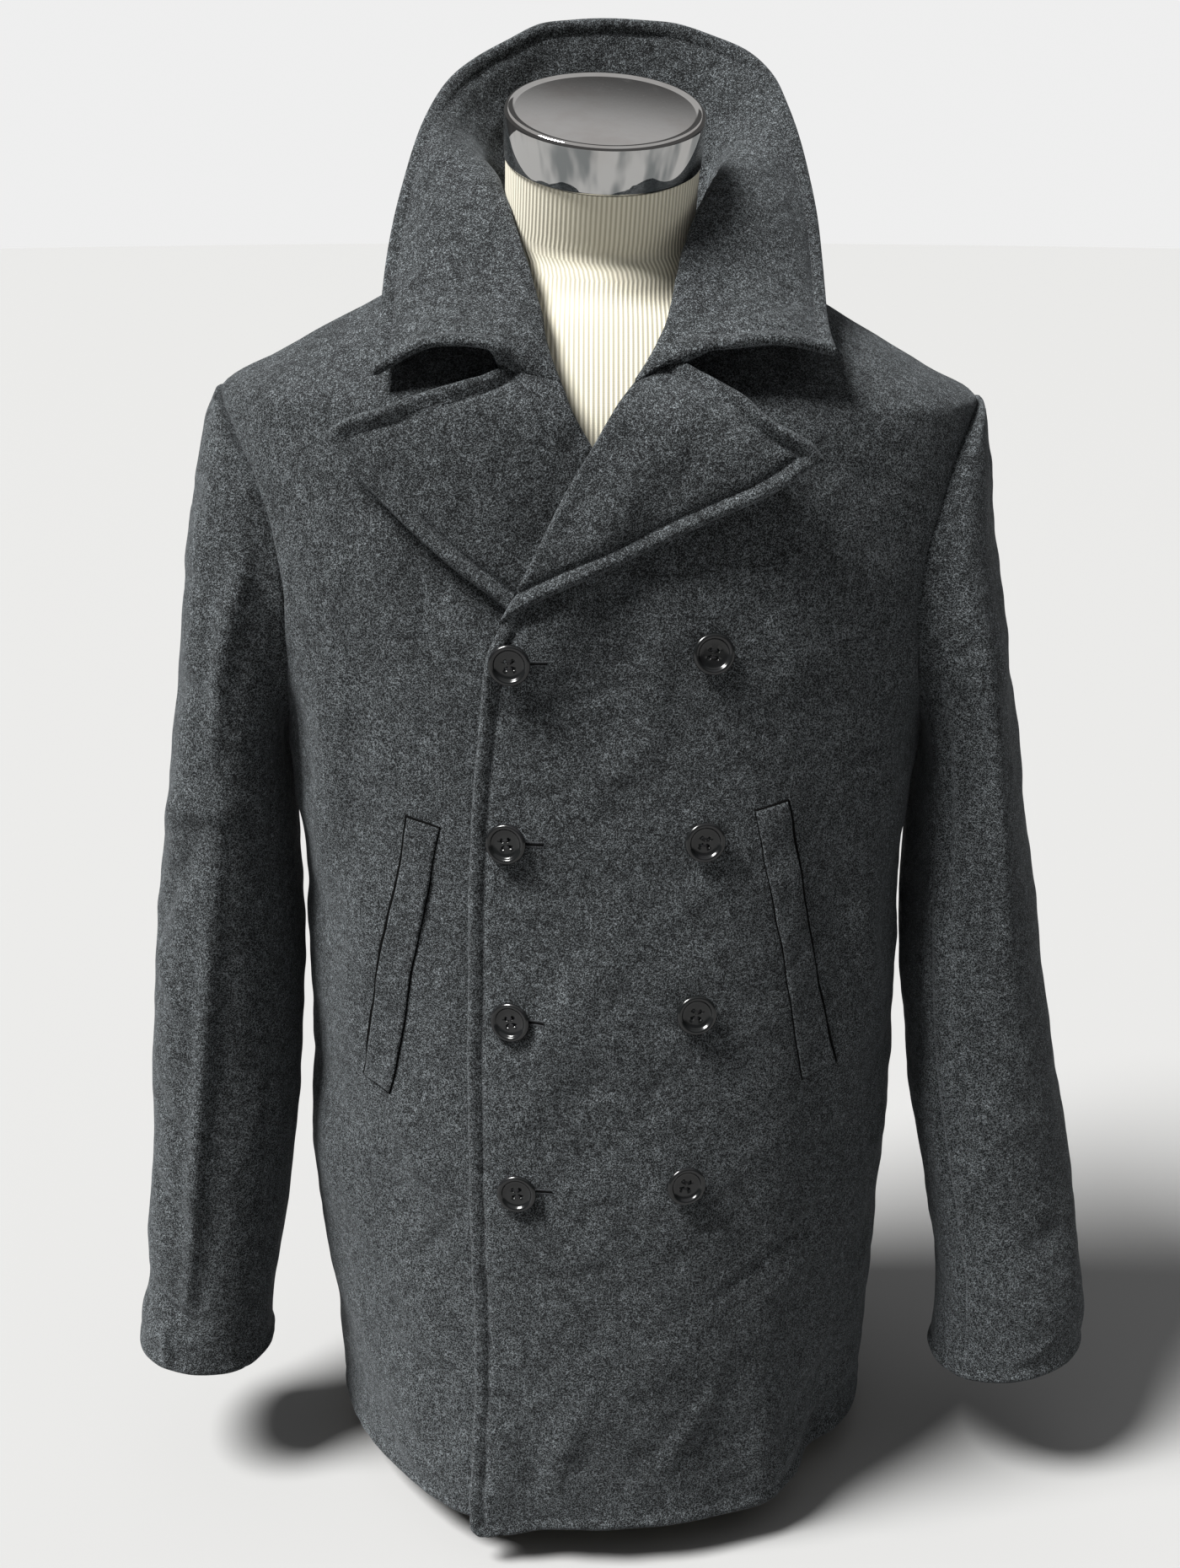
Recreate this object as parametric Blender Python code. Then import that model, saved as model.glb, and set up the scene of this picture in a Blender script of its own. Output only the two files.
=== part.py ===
"""Double-breasted pea coat worn on a limbless dress form.

Frame: metres, +Z up, the coat faces -Y, +X is the wearer's left.
Origin: centre of the form's flat underside, which stands on the plane z = 0.

Every piece of cloth is a wall of two faces and a rim. The body panels share
one draped body surface, cut along the same seams, and whatever lies on a panel
(lapels, pocket welts, buttons) is worked out from that panel's own points and
moved outwards. "turn" is the angle round the body, 0 at centre front, positive
towards +X, pi at centre back.
"""

import math

import bmesh
import bpy
import numpy as np
from mathutils import Matrix, Vector

# --------------------------------------------------------------- named sizes
WALL = 0.0025                # melton wall of the body panels
SLEEVE_WALL = 0.0023
COLLAR_LAYER = 0.0021        # each of the collar's two layers
LAPEL_WALL = 0.0044          # front edge and facing together
SEAM = 0.0003                # clearance left along every seam
LAY = 0.0006                 # clearance between a lapel and the front it lies on
LAP = 0.0009                 # clearance between the two overlapped fronts
HEM_Z = 0.028
SHOULDER_Z = 0.742
NECK_SIDE_Z = 0.830
NAPE_Z = 0.810
NECK_SIDE_X = 0.075
ARMHOLE_MID_Z = 0.636
ARMHOLE_HALF_HEIGHT = 0.106
ARMHOLE_FRONT = 0.080
ARMHOLE_BACK = 0.076
ARM_STEP = 15.0              # degrees between rings' points round the armhole
BREAK_Z = 0.628              # where the lapels start to turn back
GORGE_Z = 0.762              # where the gorge seam meets the roll line
HEM_CORNER = 0.008
BUTTON_R = 0.0125
BUTTON_H = 0.0044
CAP_R = 0.0597
CAP_H = 0.029
CAP_TILT = math.radians(21.0)
CAP_ROLL = math.radians(2.5)

# ------------------------------------------------------------------- tables
# Horizontal sections of the draped body, centred on x = y = 0.
BODY_COLUMNS = ("z", "half", "front", "back", "front_pow", "back_pow")
BODY = (
    (0.028, 0.1885, 0.186, 0.150, 2.00, 2.20),
    (0.150, 0.1945, 0.179, 0.150, 2.05, 2.20),
    (0.300, 0.2000, 0.167, 0.142, 2.15, 2.30),
    (0.420, 0.1990, 0.153, 0.134, 2.25, 2.40),
    (0.530, 0.2065, 0.142, 0.128, 2.40, 2.50),
    (0.620, 0.220, 0.137, 0.124, 2.45, 2.50),
    (0.700, 0.2315, 0.127, 0.116, 2.35, 2.40),
    (0.742, 0.2355, 0.118, 0.108, 2.15, 2.20),
    (0.763, 0.2020, 0.108, 0.103, 1.95, 2.10),
    (0.783, 0.1660, 0.093, 0.097, 1.80, 2.00),
    (0.799, 0.1370, 0.077, 0.090, 1.75, 1.95),
    (0.810, 0.1150, 0.062, 0.083, 1.70, 1.90),
    (0.820, 0.0965, 0.044, 0.068, 1.70, 1.90),
    (0.830, 0.0755, 0.024, 0.036, 1.70, 1.90),
)

# Overlapping front edge of the left front, mirrored for the right front.
EDGE_COLUMNS = ("z", "x")
EDGE = ((0.028, -0.0811), (0.107, -0.0805), (0.226, -0.0836), (0.318, -0.0845),
        (0.390, -0.0842), (0.499, -0.0804), (0.545, -0.0762), (0.602, -0.0690),
        (0.628, -0.0594))

# Roll lines: x of the fold of each lapel, by height.
ROLL_COLUMNS = ("z", "left", "right")
ROLL = ((0.628, -0.0594, 0.0600), (0.660, -0.0425, 0.0360), (0.700, -0.0235, 0.0090),
        (0.725, -0.0068, -0.0085), (0.745, 0.0062, -0.0205), (0.762, 0.0180, -0.0270))

# Front neck seam under the collar: x by height.
NECK_COLUMNS = ("z", "left", "right")
NECK = ((0.762, 0.0180, -0.0270), (0.775, 0.0305, -0.0375), (0.790, 0.0445, -0.0485),
        (0.800, 0.0532, -0.0555), (0.810, 0.0610, -0.0618), (0.820, 0.0680, -0.0682),
        (0.830, 0.0755, -0.0755))

# Large soft folds of the body: a ridge (+) or trough (-) from one end to the
# other on the front (face 1), the back (face -1) or across the side seam (0).
FOLD_COLUMNS = ("face", "x0", "z0", "x1", "z1", "width", "height")
BODY_FOLDS = (
    (1, -0.086, 0.000, -0.080, 0.200, 0.034, 0.0090),
    (1, 0.108, 0.000, 0.096, 0.190, 0.016, 0.0060),
    (1, 0.152, 0.000, 0.154, 0.150, 0.015, -0.0110),
    (1, -0.118, 0.000, -0.126, 0.220, 0.020, 0.0030),
    (0, -0.190, 0.120, -0.192, 0.300, 0.030, 0.0050),
    (1, 0.158, 0.300, 0.166, 0.480, 0.014, 0.0035),
    (1, -0.160, 0.330, -0.150, 0.480, 0.016, 0.0030),
    (-1, 0.085, 0.000, 0.070, 0.360, 0.030, 0.0050),
    (-1, -0.070, 0.000, -0.085, 0.330, 0.028, 0.0045),
    (-1, 0.010, 0.020, 0.012, 0.300, 0.024, -0.0040),
    (-1, 0.130, 0.560, 0.175, 0.640, 0.016, 0.0040),
    (-1, -0.135, 0.550, -0.172, 0.640, 0.016, 0.0040),
)

# Sleeve rings from the armhole to the cuff, for the +X side: the ring's outer
# and inner points in the x-z plane, its fore-and-aft centre and half depth.
SLEEVE_COLUMNS = ("out_x", "out_z", "in_x", "in_z", "mid_y", "half_y", "bow")
SLEEVE_LEFT = (
    (0.2392, 0.7430, 0.2090, 0.5270, -0.0020, 0.0785, 0.0200),
    (0.2420, 0.7290, 0.2095, 0.5180, -0.0030, 0.0795, 0.0150),
    (0.2452, 0.6980, 0.2080, 0.5050, -0.0045, 0.0795, 0.0090),
    (0.2526, 0.6480, 0.2060, 0.4800, -0.0070, 0.0775, 0.0030),
    (0.2626, 0.5780, 0.2040, 0.4450, -0.0100, 0.0745, 0.0),
    (0.2733, 0.5050, 0.2030, 0.4050, -0.0160, 0.0715, 0.0),
    (0.2858, 0.4300, 0.2040, 0.3600, -0.0220, 0.0685, 0.0),
    (0.2970, 0.3550, 0.2080, 0.3050, -0.0300, 0.0650, 0.0),
    (0.3110, 0.2830, 0.2160, 0.2500, -0.0400, 0.0620, 0.0),
    (0.3235, 0.2150, 0.2255, 0.1960, -0.0490, 0.0580, 0.0),
    (0.3325, 0.1500, 0.2335, 0.1480, -0.0560, 0.0535, 0.0),
    (0.3365, 0.1150, 0.2345, 0.1150, -0.0595, 0.0505, 0.0),
    (0.3345, 0.0950, 0.2340, 0.0770, -0.0610, 0.0500, 0.0),
)
SLEEVE_RIGHT = (
    (0.2392, 0.7430, 0.2090, 0.5270, -0.0020, 0.0785, 0.0200),
    (0.2458, 0.7290, 0.2095, 0.5180, -0.0030, 0.0795, 0.0150),
    (0.2525, 0.6980, 0.2085, 0.5050, -0.0045, 0.0795, 0.0090),
    (0.2615, 0.6480, 0.2065, 0.4800, -0.0070, 0.0775, 0.0030),
    (0.2730, 0.5780, 0.2050, 0.4450, -0.0100, 0.0745, 0.0),
    (0.2845, 0.5050, 0.2040, 0.4050, -0.0160, 0.0715, 0.0),
    (0.2945, 0.4300, 0.2045, 0.3600, -0.0220, 0.0685, 0.0),
    (0.3020, 0.3550, 0.2075, 0.3050, -0.0300, 0.0650, 0.0),
    (0.3070, 0.2830, 0.2125, 0.2500, -0.0390, 0.0620, 0.0),
    (0.3095, 0.2130, 0.2195, 0.1960, -0.0470, 0.0580, 0.0),
    (0.3140, 0.1550, 0.2275, 0.1500, -0.0540, 0.0530, 0.0),
    (0.3230, 0.1180, 0.2330, 0.1180, -0.0590, 0.0505, 0.0),
    (0.3240, 0.0950, 0.2345, 0.0870, -0.0610, 0.0500, 0.0),
)

# Sleeve folds: ring position (0 armhole, 1 cuff), angle round the ring
# (0 outer, 90 front), their spread, and the height.
SLEEVE_FOLD_COLUMNS = ("along", "angle", "spread_along", "spread_angle", "height")
SLEEVE_LEFT_FOLDS = (
    (0.30, 62.0, 0.20, 16.0, 0.0045), (0.33, 98.0, 0.16, 14.0, -0.0035),
    (0.74, 70.0, 0.06, 40.0, -0.0050), (0.66, 300.0, 0.05, 45.0, 0.0040),
    (0.86, 40.0, 0.07, 30.0, 0.0030),
)
SLEEVE_RIGHT_FOLDS = (
    (0.28, 50.0, 0.18, 16.0, 0.0035), (0.88, 60.0, 0.05, 34.0, -0.0055),
    (0.80, 35.0, 0.05, 30.0, 0.0045), (0.68, 290.0, 0.06, 45.0, 0.0040),
    (0.60, 95.0, 0.07, 30.0, -0.0030),
)

# Lapel outlines as (x, z) on the front, wearer's left with +X outwards.
LAPEL_COLUMNS = ("step", "x", "z", "lift")
LAPEL_LEFT_EDGE = ((0.0, -0.0605, 0.6265, 0.000), (0.2, -0.0360, 0.6370, 0.000),
                   (0.45, 0.0290, 0.6635, 0.002), (0.62, 0.0635, 0.6790, 0.006),
                   (0.75, 0.0835, 0.6880, 0.010), (0.88, 0.1030, 0.6985, 0.015),
                   (1.0, 0.1175, 0.7095, 0.019))
LAPEL_RIGHT_EDGE = ((0.0, -0.0420, 0.6170, 0.000), (0.2, -0.0617, 0.6365, 0.000),
                    (0.45, -0.0888, 0.6535, 0.000), (0.62, -0.1055, 0.6685, 0.001),
                    (0.78, -0.1170, 0.6815, 0.003), (0.9, -0.1400, 0.7065, 0.006),
                    (1.0, -0.1540, 0.7220, 0.008))
LAPEL_TOP_COLUMNS = ("across", "x", "z", "lift")
LAPEL_LEFT_TOP = ((0.0, 0.0165, 0.7605, 0.002), (0.18, 0.0400, 0.7720, 0.003),
                  (0.36, 0.0650, 0.7515, 0.007), (0.56, 0.0820, 0.7425, 0.011),
                  (0.75, 0.0960, 0.7340, 0.014), (0.9, 0.1110, 0.7225, 0.017),
                  (1.0, 0.1175, 0.7095, 0.019))
LAPEL_RIGHT_TOP = ((0.0, -0.0255, 0.7605, 0.002), (0.22, -0.0605, 0.7650, 0.002),
                   (0.34, -0.0700, 0.7580, 0.002), (0.46, -0.0800, 0.7530, 0.003),
                   (0.62, -0.0990, 0.7465, 0.004), (0.78, -0.1200, 0.7400, 0.006),
                   (0.92, -0.1420, 0.7330, 0.008), (1.0, -0.1540, 0.7220, 0.008))

# Collar stations from centre back (0) to the front end (1): the crest, middle
# and outer edge of the turned-up collar; the two sides differ at the edge.
COLLAR_COLUMNS = ("at", "crest_x", "crest_y", "crest_z", "mid_x", "mid_y", "mid_z",
                  "edge_x", "edge_y", "edge_z", "edge_x_right", "edge_z_right")
COLLAR = (
    (0.00, 0.0000, 0.0910, 0.8620, 0.0000, 0.0970, 0.9150, 0.0000, 0.1010, 0.9665, 0.0000, 0.9665),
    (0.14, 0.0400, 0.0830, 0.8660, 0.0440, 0.0910, 0.9150, 0.0520, 0.0960, 0.9605, 0.0460, 0.9585),
    (0.28, 0.0660, 0.0580, 0.8720, 0.0800, 0.0680, 0.9080, 0.0980, 0.0780, 0.9420, 0.0870, 0.9370),
    (0.42, 0.0740, 0.0220, 0.8770, 0.0990, 0.0330, 0.8960, 0.1180, 0.0440, 0.9060, 0.1105, 0.9050),
    (0.55, 0.0680, -0.0120, 0.8700, 0.1010, -0.0040, 0.8690, 0.1290, 0.0060, 0.8580, 0.1240, 0.8580),
    (0.68, 0.0560, -0.0440, 0.8480, 0.0950, -0.0380, 0.8420, 0.1320, -0.0250, 0.8220, 0.1305, 0.8200),
    (0.80, 0.0440, -0.0760, 0.8130, 0.0850, -0.0700, 0.8130, 0.1320, -0.0520, 0.8000, 0.1320, 0.7930),
    (0.90, 0.0420, -0.1020, 0.7860, 0.0820, -0.0930, 0.7940, 0.1320, -0.0760, 0.7875, 0.1325, 0.7760),
    (1.00, 0.0650, -0.1100, 0.7810, 0.1010, -0.1030, 0.7840, 0.1340, -0.0920, 0.7780, 0.1330, 0.7620),
)

# Pocket welts, corners (x, z) on the front: top outer, top inner, bottom inner,
# bottom outer; "outer" is the opening edge.
WELT_COLUMNS = ("outer_top", "inner_top", "inner_low", "outer_low")
WELT_RIGHT = ((-0.1188, 0.5035), (-0.1000, 0.4985), (-0.1358, 0.3175), (-0.1530, 0.3235))
WELT_LEFT = ((0.1081, 0.5154), (0.0894, 0.5114), (0.1246, 0.3309), (0.1446, 0.3357))

# Buttons: height and x of the buttoned column, then x and height of the other.
BUTTON_COLUMNS = ("z", "x_edge", "x_far", "z_far")
BUTTONS = ((0.6050, -0.0544, 0.0624, 0.6096), (0.4940, -0.0576, 0.0582, 0.4955),
           (0.3812, -0.0563, 0.0548, 0.3862), (0.2703, -0.0535, 0.0487, 0.2759))

# Form sections below the shoulders, then the neck.
FORM_COLUMNS = ("z", "half", "front", "back", "pow")
FORM = (
    (0.000, 0.150, 0.112, 0.108, 2.2), (0.004, 0.153, 0.115, 0.111, 2.2),
    (0.060, 0.164, 0.124, 0.120, 2.2), (0.150, 0.168, 0.122, 0.124, 2.2),
    (0.260, 0.154, 0.108, 0.114, 2.2), (0.360, 0.146, 0.104, 0.100, 2.2),
    (0.450, 0.160, 0.114, 0.106, 2.2), (0.530, 0.182, 0.124, 0.112, 2.3),
    (0.600, 0.202, 0.127, 0.113, 2.3), (0.660, 0.214, 0.122, 0.110, 2.3),
    (0.705, 0.2230, 0.115, 0.105, 2.2), (0.728, 0.2290, 0.110, 0.102, 2.1),
    (0.7375, 0.2315, 0.108, 0.100, 2.1), (0.7585, 0.1985, 0.099, 0.096, 1.95),
    (0.7785, 0.1630, 0.088, 0.090, 1.85), (0.7935, 0.1310, 0.078, 0.082, 1.75),
    (0.8060, 0.0930, 0.068, 0.072, 1.60), (0.8180, 0.0680, 0.063, 0.064, 1.90),
)
# Neck rings above: distance below the cap along the leaning neck axis.
NECK_RING_COLUMNS = ("below", "half_x", "half_y", "lean_share")
NECK_RINGS = ((0.052, 0.0600, 0.0595, 0.45), (0.037, 0.0582, 0.0582, 0.70),
              (0.020, 0.0580, 0.0580, 0.90), (0.000, 0.0582, 0.0582, 1.0))


# ----------------------------------------------------------------- functions
def smooth(xs, ys, x):
    """Monotone cubic through (xs, ys), read at x; flat beyond the ends."""
    xs, ys = np.asarray(xs, float), np.asarray(ys, float)
    x = min(max(x, xs[0]), xs[-1])
    h, d = np.diff(xs), np.diff(ys) / np.diff(xs)
    m = np.empty(len(xs))
    m[0], m[-1] = d[0], d[-1]
    for i in range(1, len(xs) - 1):
        if d[i - 1] * d[i] <= 0:
            m[i] = 0.0
        else:
            w1, w2 = 2 * h[i] + h[i - 1], h[i] + 2 * h[i - 1]
            m[i] = (w1 + w2) / (w1 / d[i - 1] + w2 / d[i])
    i = int(min(max(np.searchsorted(xs, x, "right") - 1, 0), len(xs) - 2))
    t = (x - xs[i]) / h[i]
    return ((2 * t ** 3 - 3 * t ** 2 + 1) * ys[i] + (t ** 3 - 2 * t ** 2 + t) * h[i] * m[i]
            + (3 * t ** 2 - 2 * t ** 3) * ys[i + 1] + (t ** 3 - t ** 2) * h[i] * m[i + 1])


def read(table, columns, name, key):
    """One named column of a table at the given value of its first column."""
    k = columns.index(name)
    return smooth([r[0] for r in table], [r[k] for r in table], key)


def step(t):
    t = min(max(t, 0.0), 1.0)
    return t * t * (3 - 2 * t)


def unit(v):
    v = np.asarray(v, float)
    return v / max(np.linalg.norm(v), 1e-12)


def body(name, z):
    return read(BODY, BODY_COLUMNS, name, z)


def body_point(turn, z):
    """Point of the draped body at an angle round it and a height."""
    s, c = math.sin(turn), math.cos(turn)
    face = 1 if c > 0 else -1
    half = body("half", z)
    depth = body("front" if c > 0 else "back", z)
    power = body("front_pow" if c > 0 else "back_pow", z)
    r = ((abs(s) / half) ** power + (abs(c) / depth) ** power) ** (-1 / power)
    p = np.array((r * s, -r * c, z))
    lift = 0.0
    for f, x0, z0, x1, z1, width, height in BODY_FOLDS:
        if f == -face:
            continue
        t = ((p[0] - x0) * (x1 - x0) + (z - z0) * (z1 - z0)) / ((x1 - x0) ** 2 + (z1 - z0) ** 2)
        tc = min(max(t, 0.0), 1.0)
        far = math.hypot(p[0] - x0 - tc * (x1 - x0), z - z0 - tc * (z1 - z0))
        fade = 1 - step((t - 0.35) / 0.65) if z0 < 0.05 else math.sin(math.pi * tc)
        lift += height * fade * math.exp(-(far / width) ** 2)
    return p + lift * unit((s, -c, 0.0))


def body_normal(turn, z):
    dt, dz = 0.004, 0.0015
    a = body_point(turn + dt, z) - body_point(turn - dt, z)
    b = body_point(turn, z + dz) - body_point(turn, z - dz)
    return unit(np.cross(a, b))


def body_out(turn, z, out):
    """Body point moved outwards along the normal."""
    return body_point(turn, z) + out * body_normal(turn, z)


def turn_at(x, z, face=1):
    """Angle of the body point with a given x on the front (1) or back (-1)."""
    half = body("half", z)
    power = body("front_pow" if face > 0 else "back_pow", z)
    depth = body("front" if face > 0 else "back", z)
    y = depth * max(1 - min(abs(x) / half, 1.0) ** power, 0.0) ** (1 / power)
    return math.atan2(x, face * y)


def armhole_reach(z, face=1):
    """Half depth of the armhole opening at a height."""
    t = 1 - ((z - ARMHOLE_MID_Z) / ARMHOLE_HALF_HEIGHT) ** 2
    return (ARMHOLE_FRONT if face > 0 else ARMHOLE_BACK) * math.sqrt(max(t, 0.0))


def armhole_turn(z, face=1):
    """Angle at which the armhole seam crosses a height."""
    y = armhole_reach(z, face)
    half = body("half", z)
    power = body("front_pow" if face > 0 else "back_pow", z)
    depth = body("front" if face > 0 else "back", z)
    x = half * (1 - (y / depth) ** power) ** (1 / power)
    return math.atan2(x, face * y)


def armhole_point(angle_deg, side):
    """Point of the armhole seam: 0 at the shoulder tip, 90 front, 180 underarm."""
    a = math.radians(angle_deg)
    z = ARMHOLE_MID_Z + ARMHOLE_HALF_HEIGHT * math.cos(a)
    face = 1 if math.sin(a) >= 0 else -1
    if abs(math.sin(a)) < 1e-9:
        return body_point(side * math.pi / 2, z)
    return body_point(side * armhole_turn(z, face), z)


def shared_rows():
    """Heights of the rows every body panel uses, matched at the seams."""
    low = [0.028, 0.062, 0.105, 0.155, 0.205, 0.255, 0.305, 0.355, 0.405, 0.450, 0.490]
    low += [0.515]
    arm = [ARMHOLE_MID_Z - ARMHOLE_HALF_HEIGHT * math.cos(math.radians(a))
           for a in np.arange(0.0, 180.1, ARM_STEP)]
    neck = [0.752, 0.764, 0.776, 0.789, 0.800]
    top = [NECK_SIDE_Z - (NECK_SIDE_Z - NAPE_Z) * math.cos(math.radians(a))
           for a in (0, 15, 30, 45, 60, 75, 87)]
    return low + arm + neck + top


def roll_x(side, z):
    """x of the front's inner boundary: edge, roll line, then neck seam."""
    if z <= BREAK_Z:
        edge = read(EDGE, EDGE_COLUMNS, "x", z)
        corner = HEM_CORNER - (z - HEM_Z)
        if corner > 0:
            edge += HEM_CORNER - math.sqrt(max(HEM_CORNER ** 2 - corner ** 2, 0.0))
        return side * edge
    if z <= GORGE_Z:
        return read(ROLL, ROLL_COLUMNS, "left" if side > 0 else "right", z)
    return read(NECK, NECK_COLUMNS, "left" if side > 0 else "right", z)


def left_lift(x, z):
    """How far the overlapping left front stands out from the body surface."""
    over = (WALL + LAP) * (1 - step((x - 0.104) / 0.034)) * (1 - step((z - 0.735) / 0.030))
    inside = x - roll_x(1, min(max(z, HEM_Z + HEM_CORNER), GORGE_Z))
    lapel = 0.0056 * (1 - step((inside - 0.030) / 0.030)) \
        * step((z - 0.572) / 0.036) * (1 - step((z - 0.734) / 0.026))
    flare = 0.006 * (1 - step(inside / 0.045)) * (1 - step((z - HEM_Z) / 0.11))
    return over + lapel + flare


def front_point(side, x, z, out):
    """Point of a front panel's outer face, moved out by a distance."""
    turn = turn_at(x, z, 1)
    lift = left_lift(x, z) if side > 0 else 0.0
    return body_out(turn, z, lift + out)


def curve_through(points, t):
    """Rounded curve through points, read at the share t of its length."""
    points = np.asarray(points, float)
    run = np.concatenate(([0.0], np.cumsum(np.linalg.norm(np.diff(points, axis=0), axis=1))))
    run /= run[-1]
    pace = np.gradient(points, run, axis=0)
    i = int(min(max(np.searchsorted(run, t, "right") - 1, 0), len(run) - 2))
    h = run[i + 1] - run[i]
    u = (t - run[i]) / h
    return ((2 * u ** 3 - 3 * u ** 2 + 1) * points[i] + (u ** 3 - 2 * u ** 2 + u) * h * pace[i]
            + (3 * u ** 2 - 2 * u ** 3) * points[i + 1] + (u ** 3 - u ** 2) * h * pace[i + 1])


def settle(p):
    """The worn coat and its form lean a little: the left shoulder sits lower."""
    x, y, z = (float(c) for c in p)
    high = step((z - 0.50) / 0.20)
    side = step((abs(x) - 0.10) / 0.08)
    return Vector((x - 0.003 * high * side, y, z - 0.016 * x * high))


# ------------------------------------------------------------ mesh building
def material(name, colour, roughness, metallic=0.0, coat=0.0):
    mat = bpy.data.materials.new(name)
    mat.use_nodes = True
    node = mat.node_tree.nodes["Principled BSDF"]
    node.inputs["Base Color"].default_value = (*colour, 1.0)
    node.inputs["Roughness"].default_value = roughness
    node.inputs["Metallic"].default_value = metallic
    node.inputs["Coat Weight"].default_value = coat
    mat.diffuse_color = (*colour, 1.0)
    return mat


def finish(bm, name, mat, smooth_angle=45.0):
    bmesh.ops.recalc_face_normals(bm, faces=bm.faces[:])
    if bm.calc_volume(signed=True) < 0:
        bmesh.ops.reverse_faces(bm, faces=bm.faces[:])
    mesh = bpy.data.meshes.new(name)
    bm.to_mesh(mesh)
    bm.free()
    mesh.shade_smooth()
    mesh.set_sharp_from_angle(angle=math.radians(smooth_angle))
    mesh.materials.append(mat)
    obj = bpy.data.objects.new(name, mesh)
    bpy.context.scene.collection.objects.link(obj)
    return obj


def wall(name, face_points, back_points, mat):
    """Cloth wall: a grid for the face, extruded once to the back, rim included."""
    rows, cols = len(face_points), len(face_points[0])
    bm = bmesh.new()
    made = bmesh.ops.create_grid(bm, x_segments=cols - 1, y_segments=rows - 1, size=0.5)
    where = {}
    for v in made["verts"]:
        j = round((v.co.x + 0.5) * (cols - 1))
        i = round((v.co.y + 0.5) * (rows - 1))
        where[v] = (i, j)
    bmesh.ops.triangulate(bm, faces=bm.faces[:], quad_method="FIXED")
    grown = bmesh.ops.extrude_face_region(bm, geom=bm.faces[:], use_keep_orig=True)
    for v in [g for g in grown["geom"] if isinstance(g, bmesh.types.BMVert)]:
        j = round((v.co.x + 0.5) * (cols - 1))
        i = round((v.co.y + 0.5) * (rows - 1))
        v.co = settle(back_points[i][j])
    for v, (i, j) in where.items():
        v.co = settle(face_points[i][j])
    return finish(bm, name, mat)


def rings(name, loops, mat, smooth_angle=45.0):
    """Closed body bridged through rings of points, with flat ends."""
    bm = bmesh.new()
    edges = []
    for loop in loops:
        verts = bmesh.ops.create_circle(bm, segments=len(loop), radius=1.0)["verts"]
        verts.sort(key=lambda v: math.atan2(v.co.y, v.co.x) % (2 * math.pi))
        for v, p in zip(verts, loop):
            v.co = Vector(p)
        edges.append(list({e for v in verts for e in v.link_edges}))
    for a, b in zip(edges, edges[1:]):
        bmesh.ops.bridge_loops(bm, edges=a + b)
    bmesh.ops.contextual_create(bm, geom=edges[0])
    bmesh.ops.contextual_create(bm, geom=edges[-1])
    bmesh.ops.triangulate(bm, faces=[f for f in bm.faces if len(f.verts) > 4])
    return finish(bm, name, mat, smooth_angle)


# ------------------------------------------------------------------- panels
def drop(x, z):
    """The left front's free corner hangs a little lower than the hem."""
    return -0.007 * (1 - step((x + 0.08) / 0.06)) * (1 - step((z - HEM_Z) / 0.12))


def front_panel(side, mat):
    rows = shared_rows()
    rows = rows[:1] + [HEM_Z + 0.0012, HEM_Z + 0.004, HEM_Z + 0.0085] + rows[1:]
    cols = 12
    outer, inner = [], []
    for z in rows:
        start = turn_at(roll_x(side, z), z)
        if z < ARMHOLE_MID_Z - ARMHOLE_HALF_HEIGHT or z > SHOULDER_Z:
            end = math.pi / 2 - 0.5 * SEAM / body("half", z)
        else:
            end = min(armhole_turn(z), math.pi / 2 - 0.5 * SEAM / body("half", z))
        end *= side
        o, n = [], []
        for j in range(cols):
            t = j / (cols - 1)
            turn = start + (end - start) * t
            x = body_point(turn, z)[0]
            zz = z + (drop(x, z) if side > 0 else 0.0)
            lift = left_lift(x, zz) if side > 0 else 0.0
            o.append(body_out(turn, zz, lift))
            n.append(body_out(turn, zz, lift - WALL))
        outer.append(o)
        inner.append(n)
    return wall("front_left" if side > 0 else "front_right", outer, inner, mat)


def back_neck_x(z):
    if z <= NAPE_Z:
        return 0.5 * SEAM
    c = (NECK_SIDE_Z - z) / (NECK_SIDE_Z - NAPE_Z)
    return max(NECK_SIDE_X * math.sqrt(max(1 - c * c, 0.0)), 0.5 * SEAM)


def back_panel(side, mat):
    cols = 9
    outer, inner = [], []
    for z in shared_rows():
        gap = 0.5 * SEAM / body("half", z)
        start = side * turn_at(back_neck_x(z), z, -1)
        if z < ARMHOLE_MID_Z - ARMHOLE_HALF_HEIGHT or z > SHOULDER_Z:
            end = math.pi / 2 + gap
        else:
            end = max(armhole_turn(z, -1), math.pi / 2 + gap)
        end *= side
        turns = [start + (end - start) * j / (cols - 1) for j in range(cols)]
        outer.append([body_point(t, z) for t in turns])
        inner.append([body_out(t, z, -WALL) for t in turns])
    return wall("back_left" if side > 0 else "back_right", outer, inner, mat)


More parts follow.
